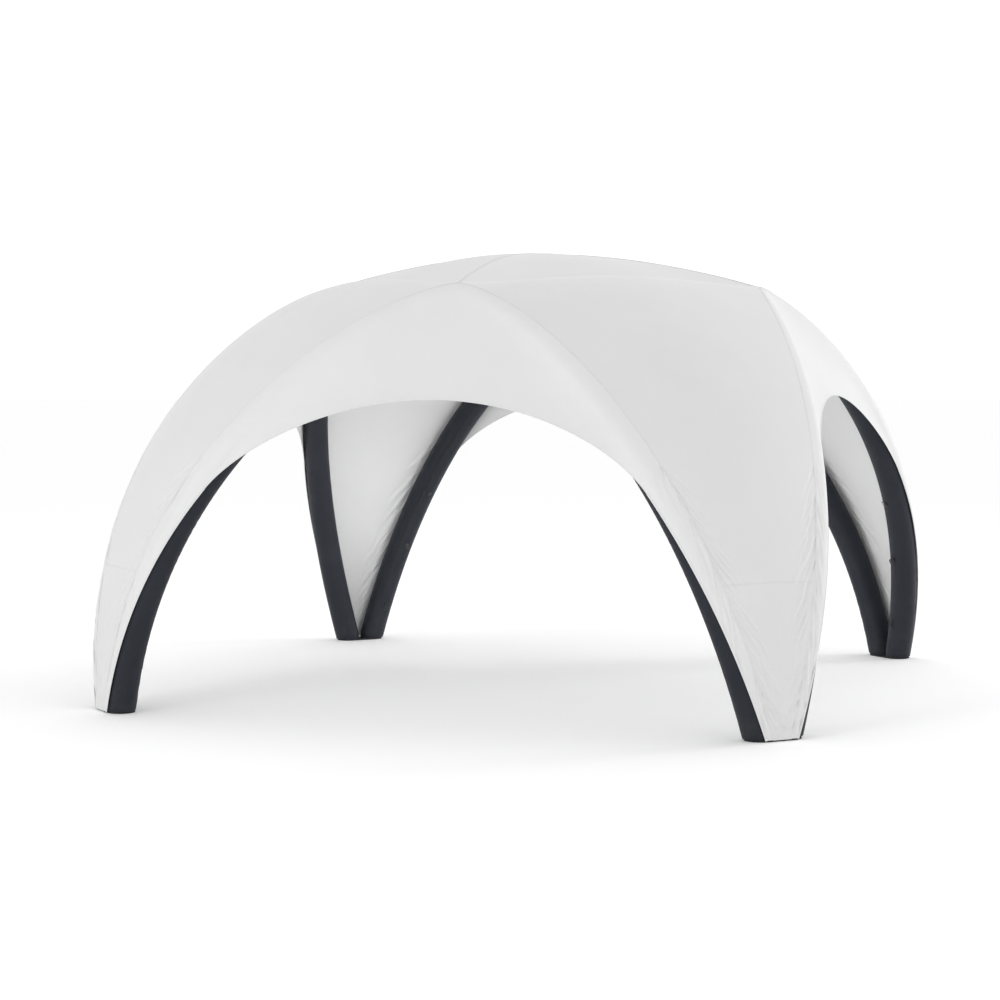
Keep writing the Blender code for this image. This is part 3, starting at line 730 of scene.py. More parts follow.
def seat_matrix(segment, face):
    """X across the tube, Y up along it and Z off its face."""
    corners = [Vector(cad_corner(segment + k, face + j)) for k in (0, 1) for j in (0, 1)]
    centre = sum(corners, Vector()) / 4
    along_tube = (corners[2] + corners[3] - corners[0] - corners[1]).normalized()
    off = (corners[1] - corners[0]).cross(along_tube).normalized()
    axis = Vector(half_arch((segment + 0.5) / CAD_STATIONS))
    if off.dot(centre - axis) < 0.0:
        off = -off
    across = along_tube.cross(off).normalized()
    seat = Matrix((across, along_tube, off)).transposed().to_4x4()
    seat.translation = centre + 2 * FLOOR_GAP * off
    return seat


def shift(x, y, z):
    return Matrix.Translation((x, y, z))


# Sleeves and bladders

FLAT_SEATS = ((RING_SEGMENT, INNER_FACE, 0.060), (VALVE_SEGMENT, INNER_FACE, 0.036), (RELIEF_SEGMENT, INNER_FACE, 0.030),
              (ZIP_SEGMENT, ZIP_FACE, 0.016))
SEAT_FADE = 0.030
SEAT_DEPTH = 0.0012
PUCKER = 0.0016
PUCKER_PITCH = 0.062
FOOT_ROUND = 0.022


def pressed_flat(points):
    """The sleeve's points with the cloth under each fitting pressed to the fitting's base."""
    for segment, face, reach in FLAT_SEATS:
        seat = np.array(seat_matrix(segment, face).inverted())
        local = points @ seat[:3, :3].T + seat[:3, 3]
        window = smooth((reach + SEAT_FADE - np.abs(local[..., 1])) / SEAT_FADE) * (np.abs(local[..., 0]) < 0.05)
        window = window * (np.abs(local[..., 2]) < 0.02)
        excess = np.maximum(local[..., 2] + SEAT_DEPTH, 0.0) * window
        normal = np.linalg.inv(seat[:3, :3])[:, 2]
        points = points - excess[..., None] * normal
    return points


# Share of the rounded foot by which its lowest row is drawn in, and the rise of each clamped row
FOOT_TUCK = 0.45
ROW_LIFT = 0.0005


def tube_grid(radius, sides, stations, floor, puckered=False, rounded=0.0):
    """Rings around the whole front arch, cut level at both feet."""
    s = np.linspace(0.0, 1.0, stations + 1)
    centres = half_arch(s)
    tangent, outward, sideways = half_frame(s)
    angles = 2 * math.pi * (np.arange(sides) + 0.5) / sides
    up = np.concatenate([[0.0], np.cumsum(np.linalg.norm(np.diff(centres, axis=0), axis=1))])
    wide = np.full((stations + 1, sides), radius)
    if puckered:
        inner = np.clip(-np.cos(angles), 0.0, 1.0) ** 2
        beat = np.sin(2 * math.pi * up / PUCKER_PITCH + 0.8 * np.sin(3.1 * up)) * (0.6 + 0.4 * np.sin(5.3 * up))
        wide = wide + PUCKER * beat[:, None] * inner[None, :]
    if rounded > 0.0:
        below = np.clip(1.0 - up / rounded, 0.0, 1.0)
        wide = wide - FOOT_TUCK * rounded * (1.0 - np.sqrt(1.0 - below ** 2))[:, None]
    cosine, sine = np.cos(angles)[None, :, None], np.sin(angles)[None, :, None]
    ring = cosine * outward[:, None] + sine * sideways[:, None]
    points = centres[:, None] + wide[..., None] * ring
    for row in range(stations + 1):
        low = points[row, :, 2] < floor + ROW_LIFT * row
        if not low.any():
            break
        lift = (floor + ROW_LIFT * row - points[row, :, 2:]) / tangent[row, 2]
        points[row] = np.where(low[:, None], points[row] + lift * tangent[row], points[row])
    points[0] = points[0] + ((floor - points[0, :, 2:]) / tangent[0, 2]) * tangent[0]
    if puckered:
        points = pressed_flat(points)
    whole = np.concatenate([points, mirror_front(points)[-2::-1]])
    return whole, np.concatenate([up, 2 * up[-1] - up[-2::-1]])


def tube_mesh(name, outer, inner, up, sides):
    """Tube wall between two grids of rings, open or closed at the feet by its own thickness."""
    rows = len(outer)
    points = np.concatenate([outer.reshape(-1, 3), inner.reshape(-1, 3)])
    count = rows * sides
    index = np.arange(count).reshape(rows, sides)
    after = np.roll(index, -1, axis=1)
    quads = np.stack([index[:-1], after[:-1], after[1:], index[1:]], axis=-1).reshape(-1, 4)
    faces = quads.tolist() + (quads[:, ::-1] + count).tolist()
    for row in (0, -1):
        faces += np.stack([index[row], index[row] + count, after[row] + count, after[row]], axis=-1).tolist()
    around = 2 * math.pi * TUBE_RADIUS * np.arange(sides) / sides
    uv = np.stack(np.broadcast_arrays(around[None, :], up[:, None]), axis=-1).reshape(-1, 2)
    return array_mesh(name, points, faces, np.concatenate([uv, uv]))


def sleeve_mesh():
    outer, up = tube_grid(TUBE_RADIUS, TUBE_SIDES, TUBE_STATIONS, TUBE_FLOOR, puckered=True, rounded=FOOT_ROUND)
    inner, _ = tube_grid(TUBE_RADIUS - 2 * SLEEVE_WALL - 0.003, TUBE_SIDES, TUBE_STATIONS, TUBE_FLOOR)
    return tube_mesh("sleeve", outer, inner, up, TUBE_SIDES)


def bladder_mesh():
    outer, up = tube_grid(BLADDER_RADIUS, 24, 60, TUBE_FLOOR + 0.004)
    inner, _ = tube_grid(BLADDER_RADIUS - BLADDER_WALL, 24, 60, TUBE_FLOOR + 0.004 + BLADDER_WALL)
    return tube_mesh("bladder", outer, inner, up, 24)


def pad_mesh():
    """Ground pad under both tube ends: rounded edges and a stepped rim."""
    centres = (Vector((FOOT_NEAR, -FOOT_FAR, 0.0)), Vector((FOOT_FAR, -FOOT_NEAR, 0.0)))
    start = math.atan2(-1.0, 1.0)
    steps = 40
    outline = []
    for k, centre in enumerate(centres):
        first = start + math.pi * (1 - k)
        for i in range(steps + 1):
            angle = first + math.pi * i / steps
            outline.append(centre + PAD_RADIUS * Vector((math.cos(angle), math.sin(angle), 0.0)))
    bm = bmesh.new()
    face = bm.faces.new([bm.verts.new(point) for point in outline])
    grown = bmesh.ops.extrude_face_region(bm, geom=[face])
    raised = [v for v in grown["geom"] if isinstance(v, bmesh.types.BMVert)]
    bmesh.ops.translate(bm, vec=(0.0, 0.0, PAD_HIGH.z), verts=raised)
    rim = [e for e in bm.edges if abs(e.verts[0].co.z - e.verts[1].co.z) < 1e-6]
    bmesh.ops.bevel(bm, geom=rim, offset=0.003, segments=3, profile=0.5, affect="EDGES")
    mesh = bpy.data.meshes.new("foot_pad")
    bm.to_mesh(mesh)
    bm.free()
    return outward_faces(mesh, 35.0)


# Material nodes

class Paint:
    """A material's node tree with short ways to add nodes."""

    def __init__(self, name):
        self.material = bpy.data.materials.new(name)
        self.material.use_nodes = True
        self.tree = self.material.node_tree
        self.shader = self.tree.nodes["Principled BSDF"]

    def node(self, kind, inputs=None, **settings):
        made = self.tree.nodes.new(kind)
        for key, value in settings.items():
            setattr(made, key, value)
        for key, value in (inputs or {}).items():
            self.feed(made.inputs[key], value)
        return made

    def feed(self, socket, value):
        if isinstance(value, bpy.types.NodeSocket):
            self.tree.links.new(value, socket)
        else:
            socket.default_value = value

    def math(self, operation, a, b=0.0, clamp=False):
        return self.node("ShaderNodeMath", {0: a, 1: b}, operation=operation, use_clamp=clamp).outputs[0]

    def place(self, scale=(1.0, 1.0, 1.0), source="Object"):
        here = self.node("ShaderNodeTexCoord").outputs[source]
        return self.node("ShaderNodeMapping", {"Vector": here, "Scale": scale}).outputs[0]

    def noise(self, where, scale, detail=4.0, roughness=0.55):
        made = self.node("ShaderNodeTexNoise", {"Vector": where, "Scale": scale, "Detail": detail, "Roughness": roughness})
        return made.outputs["Fac"]

    def spread(self, value, low, high, to_low=0.0, to_high=1.0):
        made = self.node("ShaderNodeMapRange", {0: value, 1: low, 2: high, 3: to_low, 4: to_high})
        made.clamp = True
        return made.outputs[0]

    def blend(self, share, a, b):
        made = self.node("ShaderNodeMix", data_type="RGBA")
        self.feed(made.inputs[0], share)
        self.feed(made.inputs[6], a)
        self.feed(made.inputs[7], b)
        return made.outputs[2]

    def set(self, **values):
        for key, value in values.items():
            self.feed(self.shader.inputs[key.replace("_", " ")], value)

    def bump(self, height, strength, distance, normal=None):
        inputs = {"Height": height, "Strength": strength, "Distance": distance}
        if normal is not None:
            inputs["Normal"] = normal
        return self.node("ShaderNodeBump", inputs).outputs[0]

    def relief(self, *layers):
        """Stack bump layers of (height, strength, distance) on the shader's normal."""
        normal = None
        for height, strength, distance in layers:
            normal = self.bump(height, strength, distance, normal)
        self.feed(self.shader.inputs["Normal"], normal)

    def weave(self, where, pitch):
        """Plain weave: two crossed sets of threads."""
        parts = self.node("ShaderNodeSeparateXYZ", {0: where})
        waves = []
        for axis in (0, 1):
            turns = self.math("MULTIPLY", parts.outputs[axis], math.pi / pitch)
            waves.append(self.math("SINE", turns))
        product = self.math("MULTIPLY", waves[0], waves[1])
        return self.math("MULTIPLY_ADD", product, 0.5)


def rgb(red, green, blue):
    return (red, green, blue, 1.0)


def cloth_paint(name, colour, soil=0.5):
    """Coated polyester: plain weave, faint crumple, a little dust low down and a soft sheen."""
    paint = Paint(name)
    here = paint.place()
    flat = paint.place(source="UV")
    patchy = paint.spread(paint.noise(here, 1.7, 3.0), 0.35, 0.70)
    height = paint.node("ShaderNodeSeparateXYZ", {0: here}).outputs[2]
    low = paint.spread(height, 0.03, 0.55, 1.0, 0.0)
    dust = paint.math("MULTIPLY", low, paint.spread(paint.noise(here, 9.0, 6.0, 0.65), 0.40, 0.75))
    shade = tuple(c * 0.975 for c in colour)
    dusty = (colour[0] * 0.95, colour[1] * 0.945, colour[2] * 0.935)
    base = paint.blend(patchy, rgb(*colour), rgb(*shade))
    base = paint.blend(paint.math("MULTIPLY", dust, soil), base, rgb(*dusty))
    rough = paint.spread(paint.noise(here, 24.0, 4.0), 0.3, 0.7, 0.62, 0.74)
    paint.set(Base_Color=base, Roughness=rough, Sheen_Weight=0.12, Sheen_Roughness=0.5, IOR=1.45,
              Specular_IOR_Level=0.30)
    crumple = paint.noise(here, 14.0, 5.0, 0.6)
    paint.relief((crumple, 0.25, 0.0015), (paint.weave(flat, 0.0011), 0.35, 0.00025))
    return paint.material


def stitched_paint(name, colour, thread, rows, pitch=0.0045):
    """Tape or binding with rows of lock stitch at the given distances across it."""
    paint = Paint(name)
    flat = paint.place(source="UV")
    parts = paint.node("ShaderNodeSeparateXYZ", {0: flat})
    across, along = parts.outputs[0], parts.outputs[1]
    lines = 0.0
    for row in rows:
        off = paint.math("ABSOLUTE", paint.math("SUBTRACT", across, row))
        line = paint.spread(off, 0.0004, 0.0009, 1.0, 0.0)
        lines = paint.math("MAXIMUM", line, lines)
    beat = paint.math("FRACT", paint.math("DIVIDE", along, pitch))
    hump = paint.math("SINE", paint.math("MULTIPLY", beat, math.pi))
    stitch = paint.math("MULTIPLY", lines, paint.spread(hump, 0.25, 0.7))
    here = paint.place()
    worn = paint.spread(paint.noise(here, 30.0, 4.0), 0.3, 0.75)
    base = paint.blend(worn, rgb(*colour), rgb(*(c * 0.95 for c in colour)))
    paint.set(Base_Color=paint.blend(stitch, base, rgb(*thread)), Roughness=paint.spread(worn, 0.0, 1.0, 0.6, 0.75),
              Sheen_Weight=0.1, Sheen_Roughness=0.5, Specular_IOR_Level=0.3)
    paint.relief((paint.weave(flat, 0.0012), 0.5, 0.0003), (stitch, 0.8, 0.0006))
    return paint.material


def sleeve_paint():
    """Dark coated fabric: fine weave, scuffs, and faint dust near the ground."""
    paint = Paint("sleeve_fabric")
    here, flat = paint.place(), paint.place(source="UV")
    height = paint.node("ShaderNodeSeparateXYZ", {0: here}).outputs[2]
    low = paint.spread(height, 0.0, 0.35, 1.0, 0.0)
    dust = paint.math("MULTIPLY", low, paint.spread(paint.noise(here, 12.0, 6.0, 0.65), 0.42, 0.80))
    patchy = paint.spread(paint.noise(here, 3.0, 4.0), 0.35, 0.7)
    base = paint.blend(patchy, rgb(0.0215, 0.0245, 0.0335), rgb(0.0175, 0.0200, 0.0275))
    base = paint.blend(paint.math("MULTIPLY", dust, 0.35), base, rgb(0.075, 0.072, 0.068))
    scuff = paint.spread(paint.noise(paint.place((1.0, 1.0, 0.25)), 40.0, 5.0, 0.7), 0.45, 0.8)
    paint.set(Base_Color=base, Roughness=paint.spread(scuff, 0.0, 1.0, 0.60, 0.46), Specular_IOR_Level=0.22,
              Sheen_Weight=0.03, Sheen_Roughness=0.4)
    crumple = paint.noise(here, 22.0, 4.0)
    paint.relief((crumple, 0.18, 0.0012), (paint.weave(flat, 0.0013), 0.4, 0.00025))
    return paint.material


def film_paint():
    """Clear-grey polyurethane film."""
    paint = Paint("bladder_film")
    here = paint.place()
    haze = paint.spread(paint.noise(here, 6.0, 4.0), 0.3, 0.7)
    base = paint.blend(haze, rgb(0.62, 0.66, 0.69), rgb(0.72, 0.75, 0.77))
    paint.set(Base_Color=base, Roughness=paint.spread(haze, 0.0, 1.0, 0.18, 0.30))
    paint.relief((paint.noise(here, 40.0, 3.0), 0.2, 0.0008))
    return paint.material


def moulded_paint(name, colour, roughness, grain=260.0):
    """Moulded plastic or rubber with a fine spark-eroded grain and rubbed patches."""
    paint = Paint(name)
    here = paint.place()
    rubbed = paint.spread(paint.noise(here, 55.0, 5.0, 0.65), 0.45, 0.75)
    base = paint.blend(rubbed, rgb(*colour), rgb(*(min(1.0, c * 1.5 + 0.006) for c in colour)))
    paint.set(Base_Color=base, Roughness=paint.spread(rubbed, 0.0, 1.0, roughness, roughness - 0.12))
    paint.relief((paint.noise(here, grain, 2.0), 0.25, 0.0002))
    return paint.material


def rubber_paint():
    """Ground pad: ribbed rubber with patches of dust."""
    paint = Paint("pad_rubber")
    here = paint.place()
    parts = paint.node("ShaderNodeSeparateXYZ", {0: here})
    ribs = paint.math("SINE", paint.math("MULTIPLY", paint.math("ADD", parts.outputs[0], parts.outputs[1]), 700.0))
    dust = paint.spread(paint.noise(here, 25.0, 6.0, 0.65), 0.40, 0.75)
    base = paint.blend(dust, rgb(0.018, 0.018, 0.020), rgb(0.060, 0.057, 0.052))
    paint.set(Base_Color=base, Roughness=paint.spread(dust, 0.0, 1.0, 0.62, 0.85), Specular_IOR_Level=0.3)
    paint.relief((ribs, 0.5, 0.0008), (paint.noise(here, 300.0, 2.0), 0.25, 0.0002))
    return paint.material


def metal_paint(name, colour, roughness):
    """Plated metal with fine drawn lines and small dull spots."""
    paint = Paint(name)
    lines = paint.noise(paint.place((30.0, 30.0, 400.0)), 6.0, 3.0)
    spots = paint.spread(paint.noise(paint.place(), 160.0, 4.0, 0.7), 0.5, 0.8)
    base = paint.blend(spots, rgb(*colour), rgb(*(c * 0.7 for c in colour)))
    paint.set(Base_Color=base, Metallic=1.0, Roughness=paint.spread(lines, 0.3, 0.7, roughness - 0.06, roughness + 0.1))
    paint.relief((lines, 0.15, 0.0001))
    return paint.material


def webbing_paint():
    """Woven strap: coarse ribs across it and a finer weave."""
    paint = Paint("webbing")
    here, flat = paint.place(), paint.place(source="UV")
    along = paint.node("ShaderNodeSeparateXYZ", {0: flat}).outputs[1]
    ribs = paint.math("SINE", paint.math("MULTIPLY", along, 2 * math.pi / 0.0016))
    fuzz = paint.spread(paint.noise(here, 120.0, 5.0, 0.7), 0.35, 0.75)
    base = paint.blend(fuzz, rgb(0.020, 0.021, 0.025), rgb(0.045, 0.046, 0.052))
    paint.set(Base_Color=base, Roughness=0.85, Sheen_Weight=0.25, Sheen_Roughness=0.5, Specular_IOR_Level=0.2)
    paint.relief((ribs, 0.6, 0.0004), (paint.weave(flat, 0.0008), 0.4, 0.0002))
    return paint.material


# Fittings

HINGE_Y = -0.0225
CAP_LOW = 0.0168
CAP_THICKNESS = 0.0040
CAP_RADIUS = 0.0195
TONGUE_HALF = 0.0050
EAR_GAP = 0.0004
EAR_THICKNESS = 0.0025
EAR_HALF_LENGTH = 0.0030
BARREL_RADIUS = 0.0190
RING_AXIS_HEIGHT = 0.0075
RING_RADIUS = 0.0200
RING_CORNER = 0.0050
RING_WIRE = 0.0030
LOOP_OUTER = 0.0066
LOOP_INNER = 0.0036
WEBBING = 0.0040
TAB_LENGTH = 0.0450
TAB_HALF_WIDTH = 0.0120
SLIDER_SIZE = (0.0100, 0.0160, 0.0040)
PULL_AXIS_HEIGHT = 0.0062
PULL_HALF_WIDTH = 0.0035
PULL_LENGTH = 0.0300
PULL_THICKNESS = 0.0018


def grip_flutes(count, depth, over):
    """Grooves around a grip wherever the radius is close to over."""
    def flute(angle, radius, z):
        near = abs(radius - over) < 0.0006
        return radius - depth * (0.5 - 0.5 * math.cos(count * angle)) if near else radius
    return flute


def ear_meshes(base, top, axis_y, half_gap):
    pair = []
    for side in (-1, 1):
        near = side * (half_gap + EAR_GAP)
        far = near + side * EAR_THICKNESS
        low = (min(near, far), axis_y - EAR_HALF_LENGTH, base)
        high = (max(near, far), axis_y + EAR_HALF_LENGTH, top)
        pair.append(block_mesh("ear", low, high, 0.0008))
    return pair


def valve_body_mesh():
    corners = (
        (0.0, 0.0), (0.0260, 0.0), (0.0260, 0.0030), (0.0215, 0.0036), (BARREL_RADIUS, 0.0048),
        (BARREL_RADIUS, 0.0160), (0.0135, 0.0160), (0.0135, 0.0040), (0.0, 0.0040),
    )
    body = turned_mesh("valve_body", rounded_profile(corners, 0.0008), 96, grip_flutes(24, 0.0007, BARREL_RADIUS))
    return joined("valve_body", [body, *ear_meshes(0.0015, CAP_LOW + CAP_THICKNESS, HINGE_Y, TONGUE_HALF)])


def valve_cap_mesh():
    half_angle = math.degrees(math.asin(TONGUE_HALF / CAP_RADIUS))
    disc = arc(0.0, -HINGE_Y, CAP_RADIUS, -90.0 + half_angle, 270.0 - half_angle, 64)
    outline = disc + [(-TONGUE_HALF, -EAR_HALF_LENGTH), (TONGUE_HALF, -EAR_HALF_LENGTH)]
    plate = plate_mesh("valve_cap", [outline], CAP_THICKNESS / 2, 0.0009)
    top = CAP_THICKNESS / 2
    raised = rounded_profile(
        ((0.0, top - 0.0004), (0.0135, top - 0.0004), (0.0135, top + 0.0007), (0.0115, top + 0.0007),
         (0.0110, top + 0.0002), (0.0, top + 0.0002)), 0.0003)
    ring = turned_mesh("cap_ring", raised, 64)
    ring.transform(shift(0.0, -HINGE_Y, 0.0))
    return joined("valve_cap", [plate, ring])


def plunger_mesh():
    corners = (
        (0.0, 0.0085), (0.0040, 0.0085), (0.0040, 0.0110), (0.0090, 0.0110), (0.0090, 0.0135),
        (0.0035, 0.0135), (0.0025, 0.0128), (0.0, 0.0128),
    )
    return turned_mesh("plunger", rounded_profile(corners, 0.0006), 48)


def relief_mesh():
    corners = (
        (0.0, 0.0), (0.0200, 0.0), (0.0200, 0.0030), (0.0150, 0.0045), (0.0150, 0.0090),
        (0.0120, 0.0110), (0.0060, 0.0110), (0.0050, 0.0100), (0.0, 0.0100),
    )
    return turned_mesh("relief_valve", rounded_profile(corners, 0.0007), 72, grip_flutes(18, 0.0008, 0.0150))


def tab_mesh():
    """Webbing strap on the sleeve, looped around the ring's bar; its outline is swept across."""
    meet = math.degrees(math.asin((WEBBING - LOOP_OUTER) / LOOP_OUTER))
    outer = [(TAB_LENGTH, -LOOP_OUTER), (TAB_LENGTH, WEBBING - LOOP_OUTER)]
    outer += arc(0.0, 0.0, LOOP_OUTER, meet, 270.0, 36)
    hole = arc(0.0, 0.0, LOOP_INNER, 0.0, 348.75, 31)
    mesh = plate_mesh("anchor_tab", [outer, hole], TAB_HALF_WIDTH, 0.0003)
    mesh.transform(Matrix(((0, 0, 1, 0), (1, 0, 0, 0), (0, 1, 0, RING_AXIS_HEIGHT), (0, 0, 0, 1))))
    layer = mesh.uv_layers.new(name="UVMap")
    for loop in mesh.loops:
        point = mesh.vertices[loop.vertex_index].co
        layer.data[loop.index].uv = (point.x, point.y + point.z)
    return mesh


def ring_mesh():
    reach = RING_RADIUS - RING_CORNER
    points = arc(reach, -RING_CORNER, RING_CORNER, 90.0, 0.0, 8)
    points += arc(0.0, -RING_CORNER, RING_RADIUS, 0.0, -180.0, 40)[1:-1]
    points += arc(-reach, -RING_CORNER, RING_CORNER, 180.0, 90.0, 8)
    curve = bpy.data.curves.new("anchor_ring", "CURVE")
    curve.dimensions = "3D"
    curve.bevel_depth = RING_WIRE
    curve.bevel_resolution = 6
    spline = curve.splines.new("POLY")
    spline.points.add(len(points) - 1)
    for point, (x, y) in zip(spline.points, points):
        point.co = (x, y, 0.0, 1.0)
    spline.use_cyclic_u = True
    shape = bpy.data.objects.new("anchor_ring", curve)
    mesh = bpy.data.meshes.new_from_object(shape)
    bpy.data.objects.remove(shape)
    return outward_faces(mesh, 60.0)


def slider_mesh():
    width, length, height = SLIDER_SIZE
    block = block_mesh("zip_slider", (-width / 2, -length / 2, 0.0), (width / 2, length / 2, height), 0.0009)
    top = PULL_AXIS_HEIGHT + PULL_THICKNESS / 2 + 0.0006
    return joined("zip_slider", [block, *ear_meshes(height / 2, top, 0.0, PULL_HALF_WIDTH / 2)])


def pull_mesh():
    neck = PULL_HALF_WIDTH / 2
    shoulder = -SLIDER_SIZE[1] / 3
    outline = [(neck, 0.001), (-neck, 0.001), (-neck, shoulder), (-PULL_HALF_WIDTH, shoulder * 1.6)]
    outline += arc(0.0, PULL_HALF_WIDTH - PULL_LENGTH, PULL_HALF_WIDTH, 180.0, 360.0, 24)
    outline += [(PULL_HALF_WIDTH, shoulder * 1.6), (neck, shoulder)]
    slot = arc(0.0, PULL_HALF_WIDTH - PULL_LENGTH, 0.0016, 180.0, 360.0, 10)
    slot += arc(0.0, -PULL_LENGTH / 2, 0.0016, 0.0, 180.0, 10)
    return plate_mesh("zip_pull", [outline, slot], PULL_THICKNESS / 2, 0.0004)


# Zip along the sleeve, under its slider

ZIP_START = 0.07
ZIP_END = 0.52
ZIP_ANGLE = 2 * math.pi * (ZIP_FACE + 1) / CAD_SIDES


def zip_mesh():
    """Zip tape, welded to the sleeve, with a row of teeth down its middle."""
    steps = 260
    s = np.linspace(ZIP_START, ZIP_END, steps + 1)
    tangent, outward, sideways = half_frame(s)
    way = math.cos(ZIP_ANGLE) * outward + math.sin(ZIP_ANGLE) * sideways
    centres = half_arch(s) + (TUBE_RADIUS - 0.0002) * way
    seat = np.array(seat_matrix(ZIP_SEGMENT, ZIP_FACE).inverted())
    local = centres @ seat[:3, :3].T + seat[:3, 3]
    window = smooth((SLIDER_SIZE[1] + SEAT_FADE - np.abs(local[:, 1])) / SEAT_FADE)
    centres = centres - (window * np.maximum(local[:, 2] + 0.0030, 0.0))[:, None] * way
    across = unit(np.cross(tangent, way))
    tape = bar_outline(0.014, -0.0006, 0.0008)
    teeth = bar_outline(0.0028, 0.0006, 0.0024, 0.0007)
    return sweep_mesh("sleeve_zip", centres, across, way, [tape, teeth])


# Apex patches

def patch_mesh(low, high, radius):
    """Round reinforcing patch bent down a little to its edge."""
    rings, sides = 10, 72
    points, faces, uv = [], [], []
    for layer in (high, low):
        for k in range(rings + 1):
            r = radius * k / rings
            drop = 0.0016 * (k / rings) ** 2 + (0.0008 if k == rings and layer == high else 0.0)
            for i in range(sides if k else 1):
                angle = 2 * math.pi * i / sides
                points.append((r * math.cos(angle), r * math.sin(angle), layer - drop))
                uv.append((radius - r, radius * angle))
    half = len(points) // 2
    for base in (0, half):
        for i in range(sides):
            j = (i + 1) % sides
            faces.append((base, base + 1 + i, base + 1 + j))
            for k in range(1, rings):
                a, b = base + 1 + (k - 1) * sides, base + 1 + k * sides
                faces.append((a + i, b + i, b + j, a + j))
    edge = 1 + (rings - 1) * sides
    for i in range(sides):
        j = (i + 1) % sides
        faces.append((edge + i, half + edge + i, half + edge + j, edge + j))
    return array_mesh("apex_patch", points, faces, uv)


# Assembly

DOOR_WHITE = (0.815, 0.815, 0.815)
# The leg panels are the same cloth as the doors with their white set a little darker: painted shade for the dimmer
# light on the leg panels. The leg seams and leg hems share this painted shade.
LEG_SHADED_WHITE = (0.79, 0.79, 0.79)
TAPE_WHITE = (0.81, 0.81, 0.81)
THREAD = (0.76, 0.76, 0.76)


def make_paints():
    return {
        "door": cloth_paint("door_cloth", DOOR_WHITE, 0.6),
        # Leg cloth: the door's white with painted shade, a little darker.
        "leg": cloth_paint("leg_cloth", LEG_SHADED_WHITE, 0.8),
        "seam": stitched_paint("seam_tape", TAPE_WHITE, THREAD, (-0.004, 0.004)),
        "hem": stitched_paint("hem_binding", TAPE_WHITE, THREAD, (0.011,)),
        "leg_seam": stitched_paint("leg_seam", LEG_SHADED_WHITE, THREAD, (-0.0035, 0.0035)),
        "leg_hem": stitched_paint("leg_hem", LEG_SHADED_WHITE, THREAD, (LEG_HEM - 0.004, LEG_HEM - 0.010)),
        "patch": stitched_paint("apex_patch", TAPE_WHITE, THREAD, (0.005, 0.011)),
        "sleeve": sleeve_paint(),
        "zip_tape": stitched_paint("zip_tape", (0.016, 0.017, 0.020), (0.03, 0.03, 0.034), (-0.011, 0.011)),
        "film": film_paint(),
        "pad": rubber_paint(),
        "valve": moulded_paint("valve_plastic", (0.024, 0.024, 0.027), 0.45),
        "plunger": moulded_paint("plunger_plastic", (0.10, 0.10, 0.11), 0.42),
        "webbing": webbing_paint(),
        "steel": metal_paint("ring_steel", (0.075, 0.075, 0.08), 0.34),
        "zip": metal_paint("zip_metal", (0.06, 0.06, 0.066), 0.38),
    }


def build_canopy(paints):
    root = "tent"
    seams, hems, doors = [], [], []
    seam, ridge = seam_mesh(), ridge_seam_mesh()
    for turn, side in enumerate(SIDES):
        mesh, grid = door_mesh(turn)
        door = add("Door_Cloth_" + side, mesh, paints["door"], root, turn,
                   stands_for=["Door_Panel_" + side])
        hem = add("Door_Hem_" + side, hem_mesh(grid), paints["hem"], root, turn)
        tape = add("Arch_Seam_" + side, seam.copy(), paints["seam"], root, turn)
        top = add("Ridge_Seam_" + side, ridge.copy(), paints["seam"], root, turn)
        doors.append((door, grid))
        seams.append((tape, top))
        hems.append(hem)
    for turn, side in enumerate(SIDES):
        door, grid = doors[turn]
    for turn, corner in enumerate(CORNERS):
        mesh, grid = leg_mesh(turn)
        leg = add("Leg_Cloth_" + corner, mesh, paints["leg"], root, turn,
                  stands_for=["Leg_Panel_" + corner])
        hem = add("Leg_Hem_" + corner, leg_hem_mesh(grid), paints["leg_hem"], root, turn)
        middle = add("Leg_Seam_" + corner, leg_seam_mesh(grid), paints["leg_seam"], root, turn)
    build_patches(paints, root)


def build_patches(paints, root):
    low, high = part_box("Apex_Patch")
    radius = high.x
    outer = add("Apex_Patch_Outer", patch_mesh(low.z, high.z, radius), paints["patch"], root,
                stands_for=["Apex_Patch"])
    under = APEX_Z - CLOTH - 0.004
    inner = add("Apex_Patch_Inner", patch_mesh(under - 0.002, under, radius * 0.8), paints["patch"], root)


def build_tubes(paints):
    sleeve, bladder, pad, track = sleeve_mesh(), bladder_mesh(), pad_mesh(), zip_mesh()
    for turn, side in enumerate(SIDES):
        tube = add("Air_Sleeve_" + side, sleeve.copy(), paints["sleeve"], "tent", turn,
                   stands_for=["Arch_Sleeve_" + side])
        add("Sleeve_Zip_" + side, track.copy(), paints["zip_tape"], "tent", turn)
        inner = add("Air_Bladder_" + side, bladder.copy(), paints["film"], "tent", turn,
                    stands_for=["Arch_Bladder_" + side])
    for turn, corner in enumerate(CORNERS):
        add("Ground_Pad_" + corner, pad.copy(), paints["pad"], "tent", turn,
            stands_for=["Foot_Pad_" + corner])


